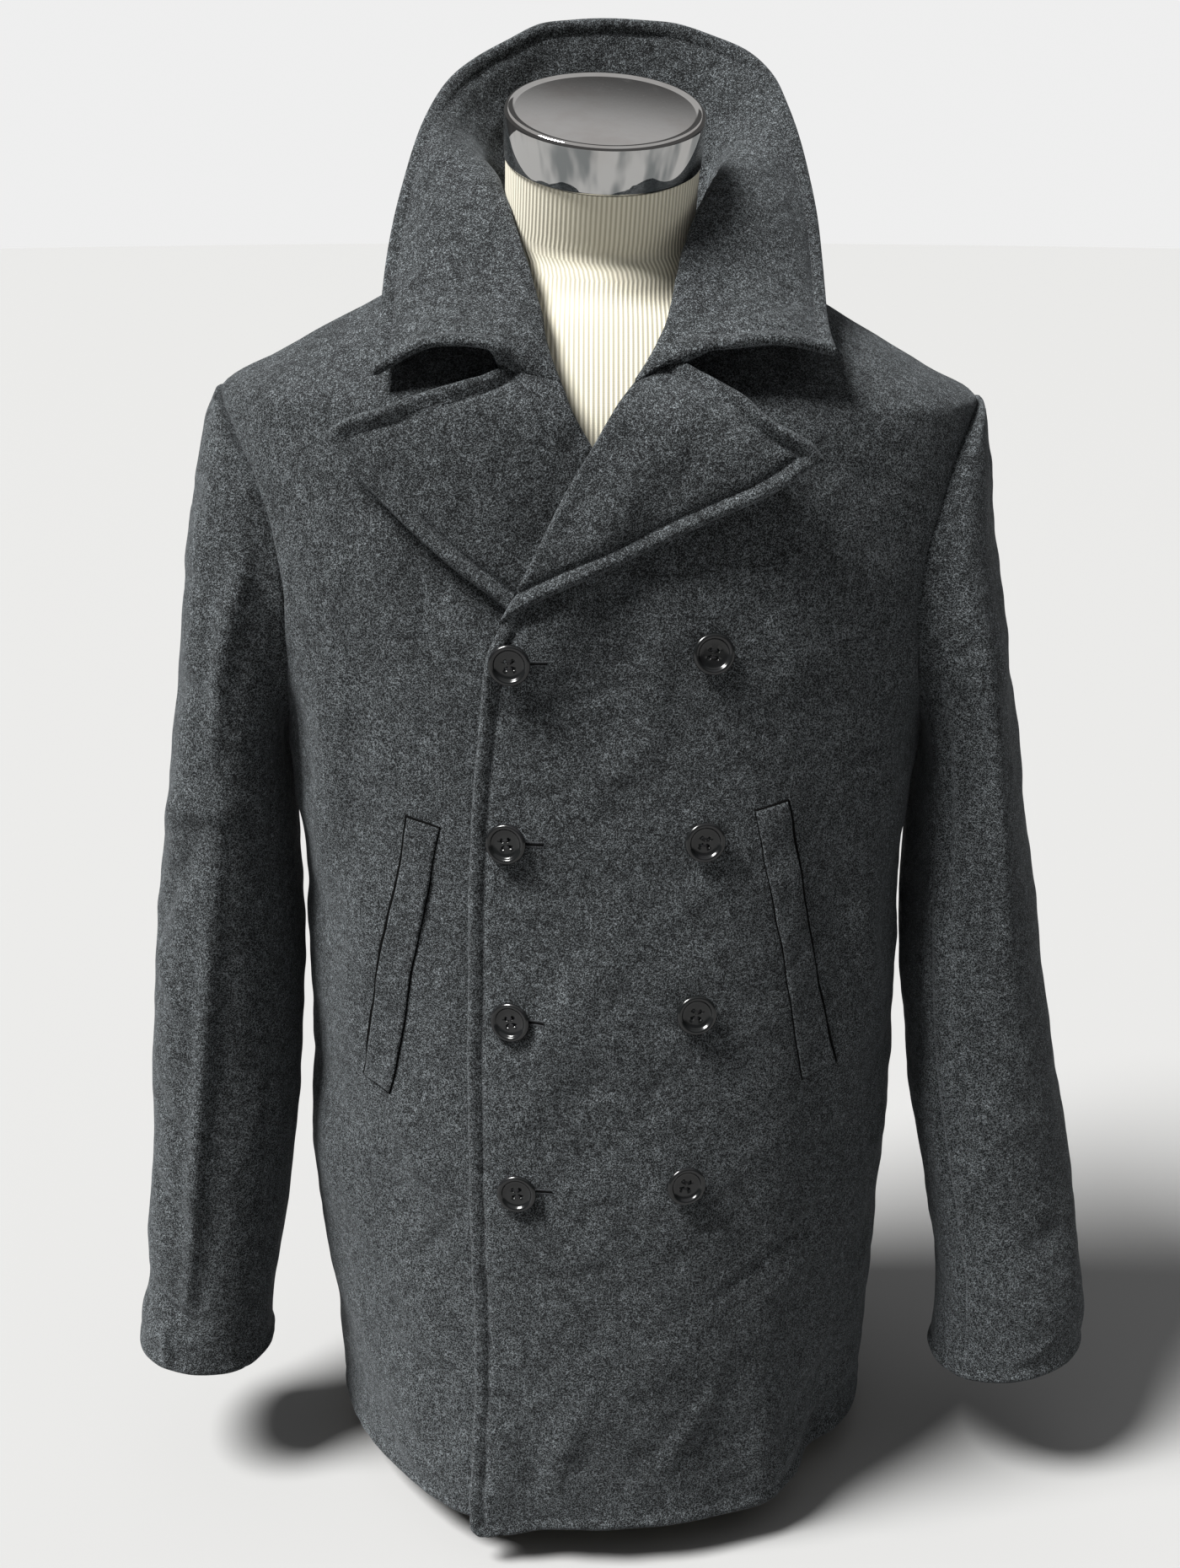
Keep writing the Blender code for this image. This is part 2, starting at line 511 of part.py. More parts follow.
# ------------------------------------------------------------------ sleeves
def sleeve_ring(side, along, angle_deg):
    """Point of a sleeve's outer face; along 0 is the armhole, 1 the cuff."""
    table = SLEEVE_LEFT if side > 0 else SLEEVE_RIGHT
    folds = SLEEVE_LEFT_FOLDS if side > 0 else SLEEVE_RIGHT_FOLDS
    a = math.radians(angle_deg)
    ca, sa = math.cos(a), math.sin(a)
    index = along * (len(table) - 1)
    col = [smooth(range(len(table)), [r[k] for r in table], index)
           for k in range(len(SLEEVE_COLUMNS))]
    out_x, out_z, in_x, in_z, mid_y, half_y, bow = col
    e = 2 / 2.15
    u = math.copysign(abs(ca) ** e, ca)
    v = math.copysign(abs(sa) ** e, sa)
    x = 0.5 * (out_x + in_x) + 0.5 * (out_x - in_x) * u - bow * sa * sa
    z = 0.5 * (out_z + in_z) + 0.5 * (out_z - in_z) * u
    p = np.array((side * x, mid_y - half_y * v, z))
    lift = 0.0
    for f_along, f_angle, s_along, s_angle, height in folds:
        d = (angle_deg - f_angle + 180) % 360 - 180
        lift += height * math.exp(-((along - f_along) / s_along) ** 2 - (d / s_angle) ** 2)
    return p + lift * unit((side * ca, -sa, 0.0))


def sleeve_point(side, along, angle_deg, depth):
    """Sleeve wall point at a depth below its outer face."""
    if along < 0:
        hole = armhole_point(angle_deg, side)
        mid = np.array((hole[0], 0.0, ARMHOLE_MID_Z))
        inward = unit(mid - hole)
        return hole + inward * (SEAM + depth) + np.array((side * 0.0005, 0, 0))
    d = 1.0
    a = sleeve_ring(side, along, angle_deg + d) - sleeve_ring(side, along, angle_deg - d)
    b = sleeve_ring(side, min(along + 0.01, 1.0), angle_deg) \
        - sleeve_ring(side, max(along - 0.01, 0.0), angle_deg)
    n = unit(np.cross(a, b)) * side
    return sleeve_ring(side, along, angle_deg) - depth * n


SLEEVE_ROWS = (-1, 0.0, 0.06, 0.13, 0.20, 0.27, 0.345, 0.42, 0.495, 0.57, 0.645,
               0.715, 0.785, 0.85, 0.91, 0.955, 1.0)
FRONT_SLEEVE_SEAM, BACK_SLEEVE_SEAM = 135.0, 255.0


def sleeve_part(side, under, mat):
    gap = math.degrees(0.5 * SEAM / 0.05)
    if under:
        angles = list(np.arange(FRONT_SLEEVE_SEAM, BACK_SLEEVE_SEAM + 0.1, ARM_STEP))
    else:
        angles = list(np.arange(BACK_SLEEVE_SEAM - 360, FRONT_SLEEVE_SEAM + 0.1, ARM_STEP))
    angles[0] += gap
    angles[-1] -= gap
    outer = [[sleeve_point(side, s, a, 0.0) for a in angles] for s in SLEEVE_ROWS]
    inner = [[sleeve_point(side, s, a, SLEEVE_WALL) for a in angles] for s in SLEEVE_ROWS]
    name = "sleeve_%s_%s" % ("left" if side > 0 else "right", "under" if under else "upper")
    return wall(name, outer, inner, mat)


# --------------------------------------------------------- lapels and collar
def lapel_top(side, t):
    """(x, z, lift) of the lapel's upper edge: straight gorge, then past the notch."""
    top = LAPEL_LEFT_TOP if side > 0 else LAPEL_RIGHT_TOP
    if t <= top[1][0]:
        share = t / top[1][0]
        return (1 - share) * np.array(top[0][1:]) + share * np.array(top[1][1:])
    return np.array([read(top[1:], LAPEL_TOP_COLUMNS, k, t) for k in ("x", "z", "lift")])


def lapel_plan(side, s, t):
    """(x, z, lift) of a lapel; s from break to gorge, t from roll line out."""
    edge = LAPEL_LEFT_EDGE if side > 0 else LAPEL_RIGHT_EDGE
    low_z = BREAK_Z + 0.002 if side > 0 else 0.7000
    z_roll = low_z + (GORGE_Z - 0.0015 - low_z) * s
    rise = step(s / 0.3) if side > 0 else step((s - 0.5) / 0.3)
    roll = np.array((roll_x(side, z_roll) - side * 0.0015, z_roll, 0.002 * rise))
    outer = np.array([read(edge, LAPEL_COLUMNS, k, s) for k in ("x", "z", "lift")])
    line = lapel_top(side, t)
    z1 = GORGE_Z - 0.0015
    end_roll = np.array((roll_x(side, z1) - side * 0.0015, z1, 0.002))
    end_edge = np.array([read(edge, LAPEL_COLUMNS, k, 1.0) for k in ("x", "z", "lift")])
    flat = (1 - t) * roll + t * outer
    flat += s ** 3 * (line - ((1 - t) * end_roll + t * end_edge))
    return flat


LAPEL_T = (0.0, 0.06, 0.18, 0.32, 0.46, 0.60, 0.75, 0.88, 1.0)


def lapel(side, mat):
    rows = [0.03, 0.10, 0.2, 0.32, 0.45, 0.58, 0.70, 0.81, 0.90, 0.96, 1.0]
    top_t = [0.0, 0.06, 0.18 if side > 0 else 0.22] + list(LAPEL_T[3:])
    face, back = [], []
    for s in rows:
        f, b = [], []
        for t in top_t:
            x, z, lift = lapel_plan(side, s, t)
            nose = 0.0012 * (1 - step(t / 0.06))
            f.append(front_point(side, x, z, LAY + lift + LAPEL_WALL - nose))
            b.append(front_point(side, x, z, LAY + lift + nose))
        face.append(f)
        back.append(b)
    return wall("lapel_left" if side > 0 else "lapel_right", face, back, mat)


def neck_seam(side):
    """Stations of the collar seam from centre back to the notch: (at, point)."""
    rows = shared_rows()
    top = rows[-7:]
    back = [(body_point(side * turn_at(back_neck_x(z), z, -1), z)) for z in top]
    front_z = top[:0:-1] + [z for z in rows[::-1] if GORGE_Z < z <= top[0]]
    front = [front_point(side, roll_x(side, z), z, 0.0036 * (1 - step((z - 0.768) / 0.030)))
             for z in front_z]
    return back, front


def collar_sections(side):
    """Rows of mid-surface points, each from the seam to the outer edge."""
    back, front = neck_seam(side)
    lapel_gorge, facing = [], []
    cut = 0.18 if side > 0 else 0.22
    for t in (0.0, 0.5 * cut, cut):
        x, z, lift = lapel_plan(side, 1.0, t)
        p = front_point(side, x, z + 0.0016 + 0.0028 * t / cut, LAY + lift + LAPEL_WALL / 2)
        lapel_gorge.append(p)
        facing.append(body_normal(turn_at(x, z), z))
    seam = back + front + lapel_gorge
    run = np.concatenate(([0.0], np.cumsum(
        np.linalg.norm(np.diff(np.array(seam), axis=0), axis=1))))
    neck_end = len(back) + len(front) - 1
    sections = []
    for i, p in enumerate(seam):
        if i <= neck_end:
            at = 0.90 * run[i] / run[neck_end + 1]
        else:
            at = 0.90 + 0.10 * (run[i] - run[neck_end + 1]) / (run[-1] - run[neck_end + 1])
        pts = []
        for k in ("crest", "mid", "edge"):
            q = np.array([read(COLLAR, COLLAR_COLUMNS, "%s_%s" % (k, ax), at) for ax in "xyz"])
            if side < 0 and k == "edge":
                q[0] = read(COLLAR, COLLAR_COLUMNS, "edge_x_right", at)
                q[2] = read(COLLAR, COLLAR_COLUMNS, "edge_z_right", at)
            elif side < 0:
                q[2] -= 0.004 * step((at - 0.45) / 0.3)
            q[0] *= side
            pts.append(q)
        start = p + unit(pts[0] - p) * (0.0007 if i <= neck_end else 0.0)
        sections.append([start] + pts)
    return sections, [None] * (neck_end + 1) + facing


COLLAR_ROWS = (0.0, 0.12, 0.26, 0.42, 0.60, 0.80, 1.0)


def collar_grid():
    """Mid-surface grid of the whole collar, right front end to left front end."""
    right, right_facing = collar_sections(-1)
    left, left_facing = collar_sections(1)
    out = [[curve_through(sec, t) for t in COLLAR_ROWS] for sec in right[::-1] + left[1:]]
    return np.array(out), right_facing[::-1] + left_facing[1:]


def grid_normals(g):
    du, dv = np.gradient(g, axis=0), np.gradient(g, axis=1)
    n = np.cross(du, dv)
    return n / np.linalg.norm(n, axis=2, keepdims=True)


def collar(mat):
    g, facing = collar_grid()
    n = grid_normals(g)
    mid = n[len(n) // 2, 3]
    if mid[1] > 0:                      # the upper collar faces the neck
        n = -n
    for i, normal in enumerate(facing):  # along the gorge it lies level with the lapel
        if normal is not None:
            n[i, 0] = normal
            n[i, 1] = unit(n[i, 1] + normal)
    near, far = 0.00022, 0.00022 + COLLAR_LAYER
    wall("collar_upper", g + n * far, g + n * near, mat)
    wall("collar_under", g - n * near, g - n * far, mat)


# ----------------------------------------------------------- welts, buttons
def welt(side, mat):
    corners = [np.array(c) for c in (WELT_LEFT if side > 0 else WELT_RIGHT)]
    face, back = [], []
    for i in range(9):
        s = i / 8
        a = corners[0] * (1 - s) + corners[3] * s
        b = corners[1] * (1 - s) + corners[2] * s
        f, k = [], []
        for j in range(4):
            x, z = a + (b - a) * j / 3
            f.append(front_point(side, x, z, SEAM + 0.0001 + 0.0028))
            k.append(front_point(side, x, z, SEAM + 0.0001))
        face.append(f)
        back.append(k)
    return wall("pocket_welt_left" if side > 0 else "pocket_welt_right", face, back, mat)


def button_mesh(mat):
    """Turned four-hole button with a rim and a dished centre, underside at z = 0."""
    profile = [(0.0, 0.0), (0.0098, 0.0), (BUTTON_R, 0.0024), (0.0117, BUTTON_H - 0.0002),
               (0.0104, BUTTON_H), (0.0082, 0.0030), (0.0, 0.0027)]
    bm = bmesh.new()
    verts = [bm.verts.new((r, 0.0, h)) for r, h in profile]
    edges = [bm.edges.new(p) for p in zip(verts, verts[1:])]
    bmesh.ops.spin(bm, geom=verts + edges, cent=(0, 0, 0), axis=(0, 0, 1),
                   angle=2 * math.pi, steps=18, use_merge=True, use_duplicate=False)
    bmesh.ops.remove_doubles(bm, verts=bm.verts[:], dist=1e-5)
    base = finish(bm, "button_blank", mat, 40.0)
    cutter = bmesh.new()
    for sx, sy in ((1, 1), (-1, 1), (-1, -1), (1, -1)):
        bmesh.ops.create_cone(cutter, cap_ends=True, segments=6, radius1=0.00115,
                              radius2=0.00115, depth=0.02,
                              matrix=Matrix.Translation((sx * 0.0021, sy * 0.0021, 0.003)))
    tool = finish(cutter, "button_holes", mat)
    tool.hide_render = True
    tool.display_type = "WIRE"
    cut = base.modifiers.new("holes", "BOOLEAN")
    cut.object = tool
    cut.operation = "DIFFERENCE"
    cut.solver = "EXACT"
    bpy.context.view_layer.update()
    graph = bpy.context.evaluated_depsgraph_get()
    mesh = bpy.data.meshes.new_from_object(base.evaluated_get(graph))
    mesh.name = "button"
    for o in (base, tool):
        bpy.data.objects.remove(o, do_unlink=True)
    return mesh


def buttons(mat):
    mesh = button_mesh(mat)
    for i, (z_edge, x_edge, x_far, z_far) in enumerate(BUTTONS):
        for column, x, z in (("right", x_edge, z_edge), ("left", x_far, z_far)):
            obj = bpy.data.objects.new("button_%s_%d" % (column, i + 1), mesh)
            seat = np.array(settle(front_point(1, x, z, 0.0)))
            n = unit(np.array(settle(front_point(1, x, z, 0.01))) - seat)
            rot = Vector((0, 0, 1)).rotation_difference(Vector(n)).to_matrix().to_4x4()
            obj.matrix_world = Matrix.Translation(Vector(seat + n * 0.0006)) @ rot
            bpy.context.scene.collection.objects.link(obj)


# --------------------------------------------------------------------- form
def cap_frame():
    """Matrix of the neck cap: origin at the middle of its underside."""
    top = Vector((0.0, -0.030, 0.9105))
    rot = Matrix.Rotation(CAP_TILT, 4, "X") @ Matrix.Rotation(CAP_ROLL, 4, "Y")
    return Matrix.Translation(top) @ rot @ Matrix.Translation((0, 0, -CAP_H))


def form(mat, cap_mat):
    count = 32
    loops = []
    for z, half, front, back, power in FORM:
        loop = []
        for k in range(count):
            turn = 2 * math.pi * k / count
            s, c = math.sin(turn), math.cos(turn)
            depth = front if c > 0 else back
            r = ((abs(s) / half) ** power + (abs(c) / depth) ** power) ** (-1 / power)
            loop.append(settle((r * s, -r * c, z)))
        loops.append(loop)
    frame = cap_frame()
    for below, half_x, half_y, share in NECK_RINGS:
        loop = []
        for k in range(count):
            turn = 2 * math.pi * k / count
            p = Vector((half_x * math.sin(turn), -half_y * math.cos(turn), -SEAM - below))
            leaning = frame @ p
            centre = frame @ Vector((0, 0, -SEAM - below))
            level = centre + Vector((p.x, p.y, 0.0))
            loop.append(leaning * share + level * (1 - share))
        loops.append(loop)
    rings("form_torso", loops, mat, 60.0)
    profile = [(0.0, 0.0), (CAP_R - 0.0015, 0.0), (CAP_R, 0.0015), (CAP_R, CAP_H - 0.0030),
               (CAP_R - 0.0009, CAP_H - 0.0009), (CAP_R - 0.0030, CAP_H), (0.0, CAP_H)]
    bm = bmesh.new()
    verts = [bm.verts.new((r, 0.0, h)) for r, h in profile]
    edges = [bm.edges.new(p) for p in zip(verts, verts[1:])]
    bmesh.ops.spin(bm, geom=verts + edges, cent=(0, 0, 0), axis=(0, 0, 1),
                   angle=2 * math.pi, steps=36, use_merge=True, use_duplicate=False)
    bmesh.ops.remove_doubles(bm, verts=bm.verts[:], dist=1e-5)
    cap = finish(bm, "form_neck_cap", cap_mat, 35.0)
    cap.matrix_world = frame


def main():
    for obj in list(bpy.data.objects):
        bpy.data.objects.remove(obj, do_unlink=True)
    melton = material("wool_melton_charcoal", (0.050, 0.053, 0.056), 0.92)
    horn = material("button_black_gloss", (0.012, 0.012, 0.013), 0.16, coat=0.6)
    jersey = material("form_jersey_cream", (0.74, 0.70, 0.62), 0.88)
    chrome = material("neck_cap_chrome", (0.62, 0.61, 0.60), 0.12, metallic=1.0)
    for side in (1, -1):
        front_panel(side, melton)
        back_panel(side, melton)
        sleeve_part(side, False, melton)
        sleeve_part(side, True, melton)
        lapel(side, melton)
        welt(side, melton)
    collar(melton)
    buttons(horn)
    form(jersey, chrome)


main()
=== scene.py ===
"""Pea coat in charcoal melton, buttoned with open lapels, on a limbless dress form.

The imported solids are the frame. Each piece of cloth is worked out again here
from the same named sizes, finer, with rolled edges, topstitching and creases.
Metres, +Z up; the coat faces -Y and +X is the wearer's left.
"""

from __future__ import annotations

import logging
import math
from dataclasses import dataclass, field, replace
from enum import Enum
from typing import Any, Callable, Sequence, Union

import bmesh
import bpy
import numpy as np
from mathutils import Matrix, Vector, kdtree

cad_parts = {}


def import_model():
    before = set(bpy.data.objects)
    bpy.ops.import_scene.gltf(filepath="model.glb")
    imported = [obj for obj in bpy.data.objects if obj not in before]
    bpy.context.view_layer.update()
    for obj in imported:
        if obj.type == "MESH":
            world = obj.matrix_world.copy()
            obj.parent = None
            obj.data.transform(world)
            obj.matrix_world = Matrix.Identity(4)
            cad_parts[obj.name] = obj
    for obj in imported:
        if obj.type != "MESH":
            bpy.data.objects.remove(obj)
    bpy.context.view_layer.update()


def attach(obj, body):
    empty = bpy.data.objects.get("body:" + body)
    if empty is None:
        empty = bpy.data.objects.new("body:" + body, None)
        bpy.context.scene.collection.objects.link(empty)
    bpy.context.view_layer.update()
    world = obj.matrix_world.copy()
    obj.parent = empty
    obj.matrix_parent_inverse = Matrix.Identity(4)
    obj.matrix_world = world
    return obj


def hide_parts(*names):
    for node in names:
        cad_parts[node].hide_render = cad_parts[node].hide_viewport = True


LOG = logging.getLogger("pea_coat")
Array = np.ndarray
Table = Sequence[Sequence[float]]
Triple = tuple[float, float, float]


class Side(Enum):
    """Half of the coat, as its wearer names it."""

    LEFT = 1
    RIGHT = -1

    @property
    def word(self) -> str:
        """Name used in piece names."""
        return self.name.lower()


class Kind(Enum):
    """How a border of a piece of cloth is finished."""

    TURNED = "turned, padded and topstitched"
    HEMMED = "turned and padded"
    SEAMED = "sewn to its neighbour"
    ROLLED = "folded over"


# ------------------------------------------------------------------- sizes
@dataclass(frozen=True)
class CoatSizes:
    """Sizes shared by the coat's pieces, in metres."""

    wall: float = 0.0025
    sleeve_wall: float = 0.0023
    collar_layer: float = 0.0021
    lapel_wall: float = 0.0044
    lay: float = 0.0006
    lap: float = 0.0009
    hem_z: float = 0.028
    shoulder_z: float = 0.742
    neck_side_z: float = 0.830
    nape_z: float = 0.810
    neck_side_x: float = 0.075
    armhole_mid_z: float = 0.636
    armhole_half: float = 0.106
    armhole_front: float = 0.080
    armhole_back: float = 0.076
    break_z: float = 0.628
    gorge_z: float = 0.762
    corner: float = 0.008
    stitch_in: float = 0.0098


SIZE = CoatSizes()

BODY_NAMES = ("z", "half", "front", "back", "front_pow", "back_pow")
BODY_ROWS = (
    (0.028, 0.1885, 0.186, 0.15, 2.0, 2.2), (0.15, 0.1945, 0.179, 0.15, 2.05, 2.2),
    (0.3, 0.2, 0.167, 0.142, 2.15, 2.3), (0.42, 0.199, 0.153, 0.134, 2.25, 2.4),
    (0.53, 0.2065, 0.142, 0.128, 2.4, 2.5), (0.62, 0.22, 0.137, 0.124, 2.45, 2.5),
    (0.7, 0.2315, 0.127, 0.116, 2.35, 2.4), (0.742, 0.2355, 0.118, 0.108, 2.15, 2.2),
    (0.763, 0.202, 0.108, 0.103, 1.95, 2.1), (0.783, 0.166, 0.093, 0.097, 1.8, 2.0),
    (0.799, 0.137, 0.077, 0.09, 1.75, 1.95), (0.81, 0.115, 0.062, 0.083, 1.7, 1.9),
    (0.82, 0.0965, 0.044, 0.068, 1.7, 1.9), (0.83, 0.0755, 0.024, 0.036, 1.7, 1.9),
)
EDGE_ROWS = (
    (0.028, -0.0811), (0.107, -0.0805), (0.226, -0.0836), (0.318, -0.0845), (0.39, -0.0842),
    (0.499, -0.0804), (0.545, -0.0762), (0.602, -0.069), (0.628, -0.0594),
)
ROLL_NAMES = ("z", "left", "right")
ROLL_ROWS = (
    (0.628, -0.0594, 0.06), (0.66, -0.0425, 0.036), (0.7, -0.0235, 0.009),
    (0.725, -0.0068, -0.0085), (0.745, 0.0062, -0.0205), (0.762, 0.018, -0.027),
)
NECK_ROWS = (
    (0.762, 0.018, -0.027), (0.775, 0.0305, -0.0375), (0.79, 0.0445, -0.0485),
    (0.8, 0.0532, -0.0555), (0.81, 0.061, -0.0618), (0.82, 0.068, -0.0682),
    (0.83, 0.0755, -0.0755),
)

# Creases of the body: face (1 front, -1 back, 0 both), ends x0, z0, x1, z1, half
# width, height of a ridge (+) or trough (-), and how far one side stands higher.
GATHER = 1.5            # how much taller the plain creases are worked
BENT_GATHER = 1.9       # the same on the bent right sleeve
TIP = 1.6               # how much taller a tipped crease's high side is worked
HEM_FOLD_Z = 0.025      # folds that start below this height fall to the hem
LARGE_FOLDS = (
    (1, -0.086, 0.0, -0.08, 0.2, 0.034, 0.009, 0.0),
    (1, 0.108, 0.0, 0.096, 0.19, 0.016, 0.006, 0.0),
    (1, 0.152, 0.0, 0.154, 0.15, 0.015, -0.011, 0.0),
    (1, -0.118, 0.0, -0.126, 0.22, 0.02, 0.003, 0.0),
    (0, -0.19, 0.12, -0.192, 0.3, 0.03, 0.005, 0.0),
    (1, 0.158, 0.3, 0.166, 0.48, 0.014, 0.0035, 0.0),
    (1, -0.16, 0.33, -0.15, 0.48, 0.016, 0.003, 0.0),
    (1, 0.022, 0.788, 0.138, 0.702, 0.019, -0.0042, 0.0),
    (1, -0.072, 0.612, 0.022, 0.776, 0.02, -0.0028, 0.0),
    (-1, 0.085, 0.0, 0.07, 0.36, 0.03, 0.005, 0.0),
    (-1, -0.07, 0.0, -0.085, 0.33, 0.028, 0.0045, 0.0),
    (-1, 0.01, 0.02, 0.012, 0.3, 0.024, -0.004, 0.0),
    (-1, 0.13, 0.56, 0.175, 0.64, 0.016, 0.004, 0.0),
    (-1, -0.135, 0.55, -0.172, 0.64, 0.016, 0.004, 0.0),
)
SMALL_CREASES = (
    # left front: from the chest down to the skirt
    (1, 0.04, 0.66, 0.024, 0.52, 0.013, 0.0016, 0.0006),
    (1, 0.021, 0.56, -0.014, 0.505, 0.009, 0.001, 0.0004),
    (1, 0.02, 0.46, -0.05, 0.3, 0.016, 0.0022, 0.001),
    (1, -0.01, 0.42, -0.045, 0.345, 0.007, 0.0008, 0.0006),
    (1, 0.15, 0.245, 0.056, 0.186, 0.0055, -0.0009, 0.0013),
    (1, 0.14, 0.212, 0.088, 0.172, 0.009, 0.0013, 0.0),
    (1, 0.08, 0.132, 0.036, 0.062, 0.008, 0.0014, 0.0014),
    (1, 0.182, 0.075, 0.094, 0.036, 0.01, 0.0016, 0.001),
    (1, 0.16, 0.11, 0.105, 0.066, 0.008, -0.0011, 0.0008),
    (1, -0.044, 0.592, 0.012, 0.6, 0.0032, -0.0007, 0.0004),
    (1, -0.038, 0.577, 0.03, 0.592, 0.0038, -0.0008, 0.0004),
    (1, -0.046, 0.565, 0.0, 0.562, 0.0036, -0.0005, 0.0003),
    (1, -0.042, 0.034, -0.004, 0.14, 0.009, 0.0013, -0.0008),
    (1, -0.056, 0.11, -0.038, 0.04, 0.008, -0.0014, 0.0),
    (1, 0.166, 0.57, 0.18, 0.48, 0.01, 0.002, 0.0),
    (1, 0.148, 0.53, 0.178, 0.545, 0.005, -0.001, 0.0006),
    (1, 0.15, 0.5, 0.184, 0.522, 0.006, -0.0011, 0.0005),
    (1, 0.136, 0.456, 0.17, 0.345, 0.0045, -0.0012, 0.0014),
    (1, 0.15, 0.452, 0.18, 0.37, 0.007, 0.0014, 0.0),
    (1, -0.058, 0.205, 0.012, 0.214, 0.005, -0.0006, 0.0004),
    (1, -0.01, 0.215, 0.004, 0.265, 0.006, 0.0007, 0.0),
    (1, 0.0, 0.18, 0.05, 0.15, 0.007, 0.0007, 0.0005),
    (1, 0.06, 0.33, 0.1, 0.27, 0.009, 0.0007, 0.0004),
    (1, 0.11, 0.69, 0.165, 0.64, 0.012, 0.0012, 0.0005),
    (1, 0.135, 0.72, 0.17, 0.69, 0.008, -0.0009, 0.0004),
    # right front
    (1, -0.168, 0.742, -0.1, 0.664, 0.006, -0.0016, 0.0),
    (1, -0.118, 0.687, -0.044, 0.616, 0.006, -0.0018, 0.0),
    (1, -0.12, 0.7, -0.106, 0.6, 0.006, -0.0016, 0.0006),
    (1, -0.104, 0.705, -0.096, 0.61, 0.0055, -0.0014, 0.0006),
    (1, -0.136, 0.712, -0.128, 0.63, 0.007, 0.001, 0.0),
    (1, -0.09, 0.256, -0.13, 0.194, 0.0055, -0.001, 0.0012),
    (1, -0.112, 0.212, -0.15, 0.158, 0.007, 0.0016, 0.0),
    (1, -0.158, 0.62, -0.18, 0.43, 0.012, 0.0026, 0.0),
    (1, -0.134, 0.325, -0.112, 0.25, 0.009, 0.0016, 0.0),
    (1, -0.168, 0.134, -0.1, 0.118, 0.007, -0.001, 0.0008),
    (1, -0.172, 0.18, -0.138, 0.14, 0.008, 0.0012, 0.0),
    (1, -0.172, 0.56, -0.14, 0.515, 0.006, -0.0012, 0.0006),
    (1, -0.176, 0.53, -0.15, 0.47, 0.007, 0.0012, 0.0),
    (1, -0.17, 0.7, -0.15, 0.73, 0.008, 0.0012, 0.0004),
    (1, -0.115, 0.42, -0.09, 0.36, 0.008, 0.001, 0.0),
    (1, -0.15, 0.07, -0.11, 0.045, 0.008, 0.0012, 0.0008),
    # back
    (-1, 0.15, 0.69, 0.06, 0.64, 0.014, 0.0018, 0.0006),
    (-1, -0.152, 0.695, -0.055, 0.65, 0.013, 0.0016, 0.0006),
    (-1, 0.12, 0.48, 0.04, 0.44, 0.012, 0.0016, 0.0008),
    (-1, -0.13, 0.47, -0.03, 0.425, 0.013, 0.0018, 0.0008),
    (-1, 0.06, 0.78, -0.05, 0.776, 0.009, -0.0014, 0.0006),
    (-1, 0.15, 0.25, 0.09, 0.19, 0.01, 0.0014, 0.0008),
    (-1, -0.15, 0.23, -0.095, 0.16, 0.01, 0.0015, 0.0008),
    (-1, 0.045, 0.15, 0.02, 0.06, 0.009, 0.0014, 0.0),
    (-1, -0.03, 0.36, -0.075, 0.3, 0.008, -0.001, 0.0006),
)

SLEEVE_NAMES = ("ring", "out_x", "out_z", "in_x", "in_z", "mid_y", "half_y", "bow")
SLEEVE_LEFT_ROWS = (
    (0.2392, 0.743, 0.209, 0.527, -0.002, 0.0785, 0.02),
    (0.242, 0.729, 0.2095, 0.518, -0.003, 0.0795, 0.015),
    (0.2452, 0.698, 0.208, 0.505, -0.0045, 0.0795, 0.009),
    (0.2526, 0.648, 0.206, 0.48, -0.007, 0.0775, 0.003),
    (0.2626, 0.578, 0.204, 0.445, -0.01, 0.0745, 0.0),
    (0.2733, 0.505, 0.203, 0.405, -0.016, 0.0715, 0.0),
    (0.2858, 0.43, 0.204, 0.36, -0.022, 0.0685, 0.0),
    (0.297, 0.355, 0.208, 0.305, -0.03, 0.065, 0.0),
    (0.311, 0.283, 0.216, 0.25, -0.04, 0.062, 0.0),
    (0.3235, 0.215, 0.2255, 0.196, -0.049, 0.058, 0.0),
    (0.3325, 0.15, 0.2335, 0.148, -0.056, 0.0535, 0.0),
    (0.3365, 0.115, 0.2345, 0.115, -0.0595, 0.0505, 0.0),
    (0.3345, 0.095, 0.234, 0.077, -0.061, 0.05, 0.0),
)
SLEEVE_RIGHT_ROWS = (
    (0.2392, 0.743, 0.209, 0.527, -0.002, 0.0785, 0.02),
    (0.2458, 0.729, 0.2095, 0.518, -0.003, 0.0795, 0.015),
    (0.2525, 0.698, 0.2085, 0.505, -0.0045, 0.0795, 0.009),
    (0.2615, 0.648, 0.2065, 0.48, -0.007, 0.0775, 0.003),
    (0.273, 0.578, 0.205, 0.445, -0.01, 0.0745, 0.0),
    (0.2845, 0.505, 0.204, 0.405, -0.016, 0.0715, 0.0),
    (0.2945, 0.43, 0.2045, 0.36, -0.022, 0.0685, 0.0),
    (0.302, 0.355, 0.2075, 0.305, -0.03, 0.065, 0.0),
    (0.307, 0.283, 0.2125, 0.25, -0.039, 0.062, 0.0),
    (0.3095, 0.213, 0.2195, 0.196, -0.047, 0.058, 0.0),
    (0.314, 0.155, 0.2275, 0.15, -0.054, 0.053, 0.0),
    (0.323, 0.118, 0.233, 0.118, -0.059, 0.0505, 0.0),
    (0.324, 0.095, 0.2345, 0.087, -0.061, 0.05, 0.0),
)
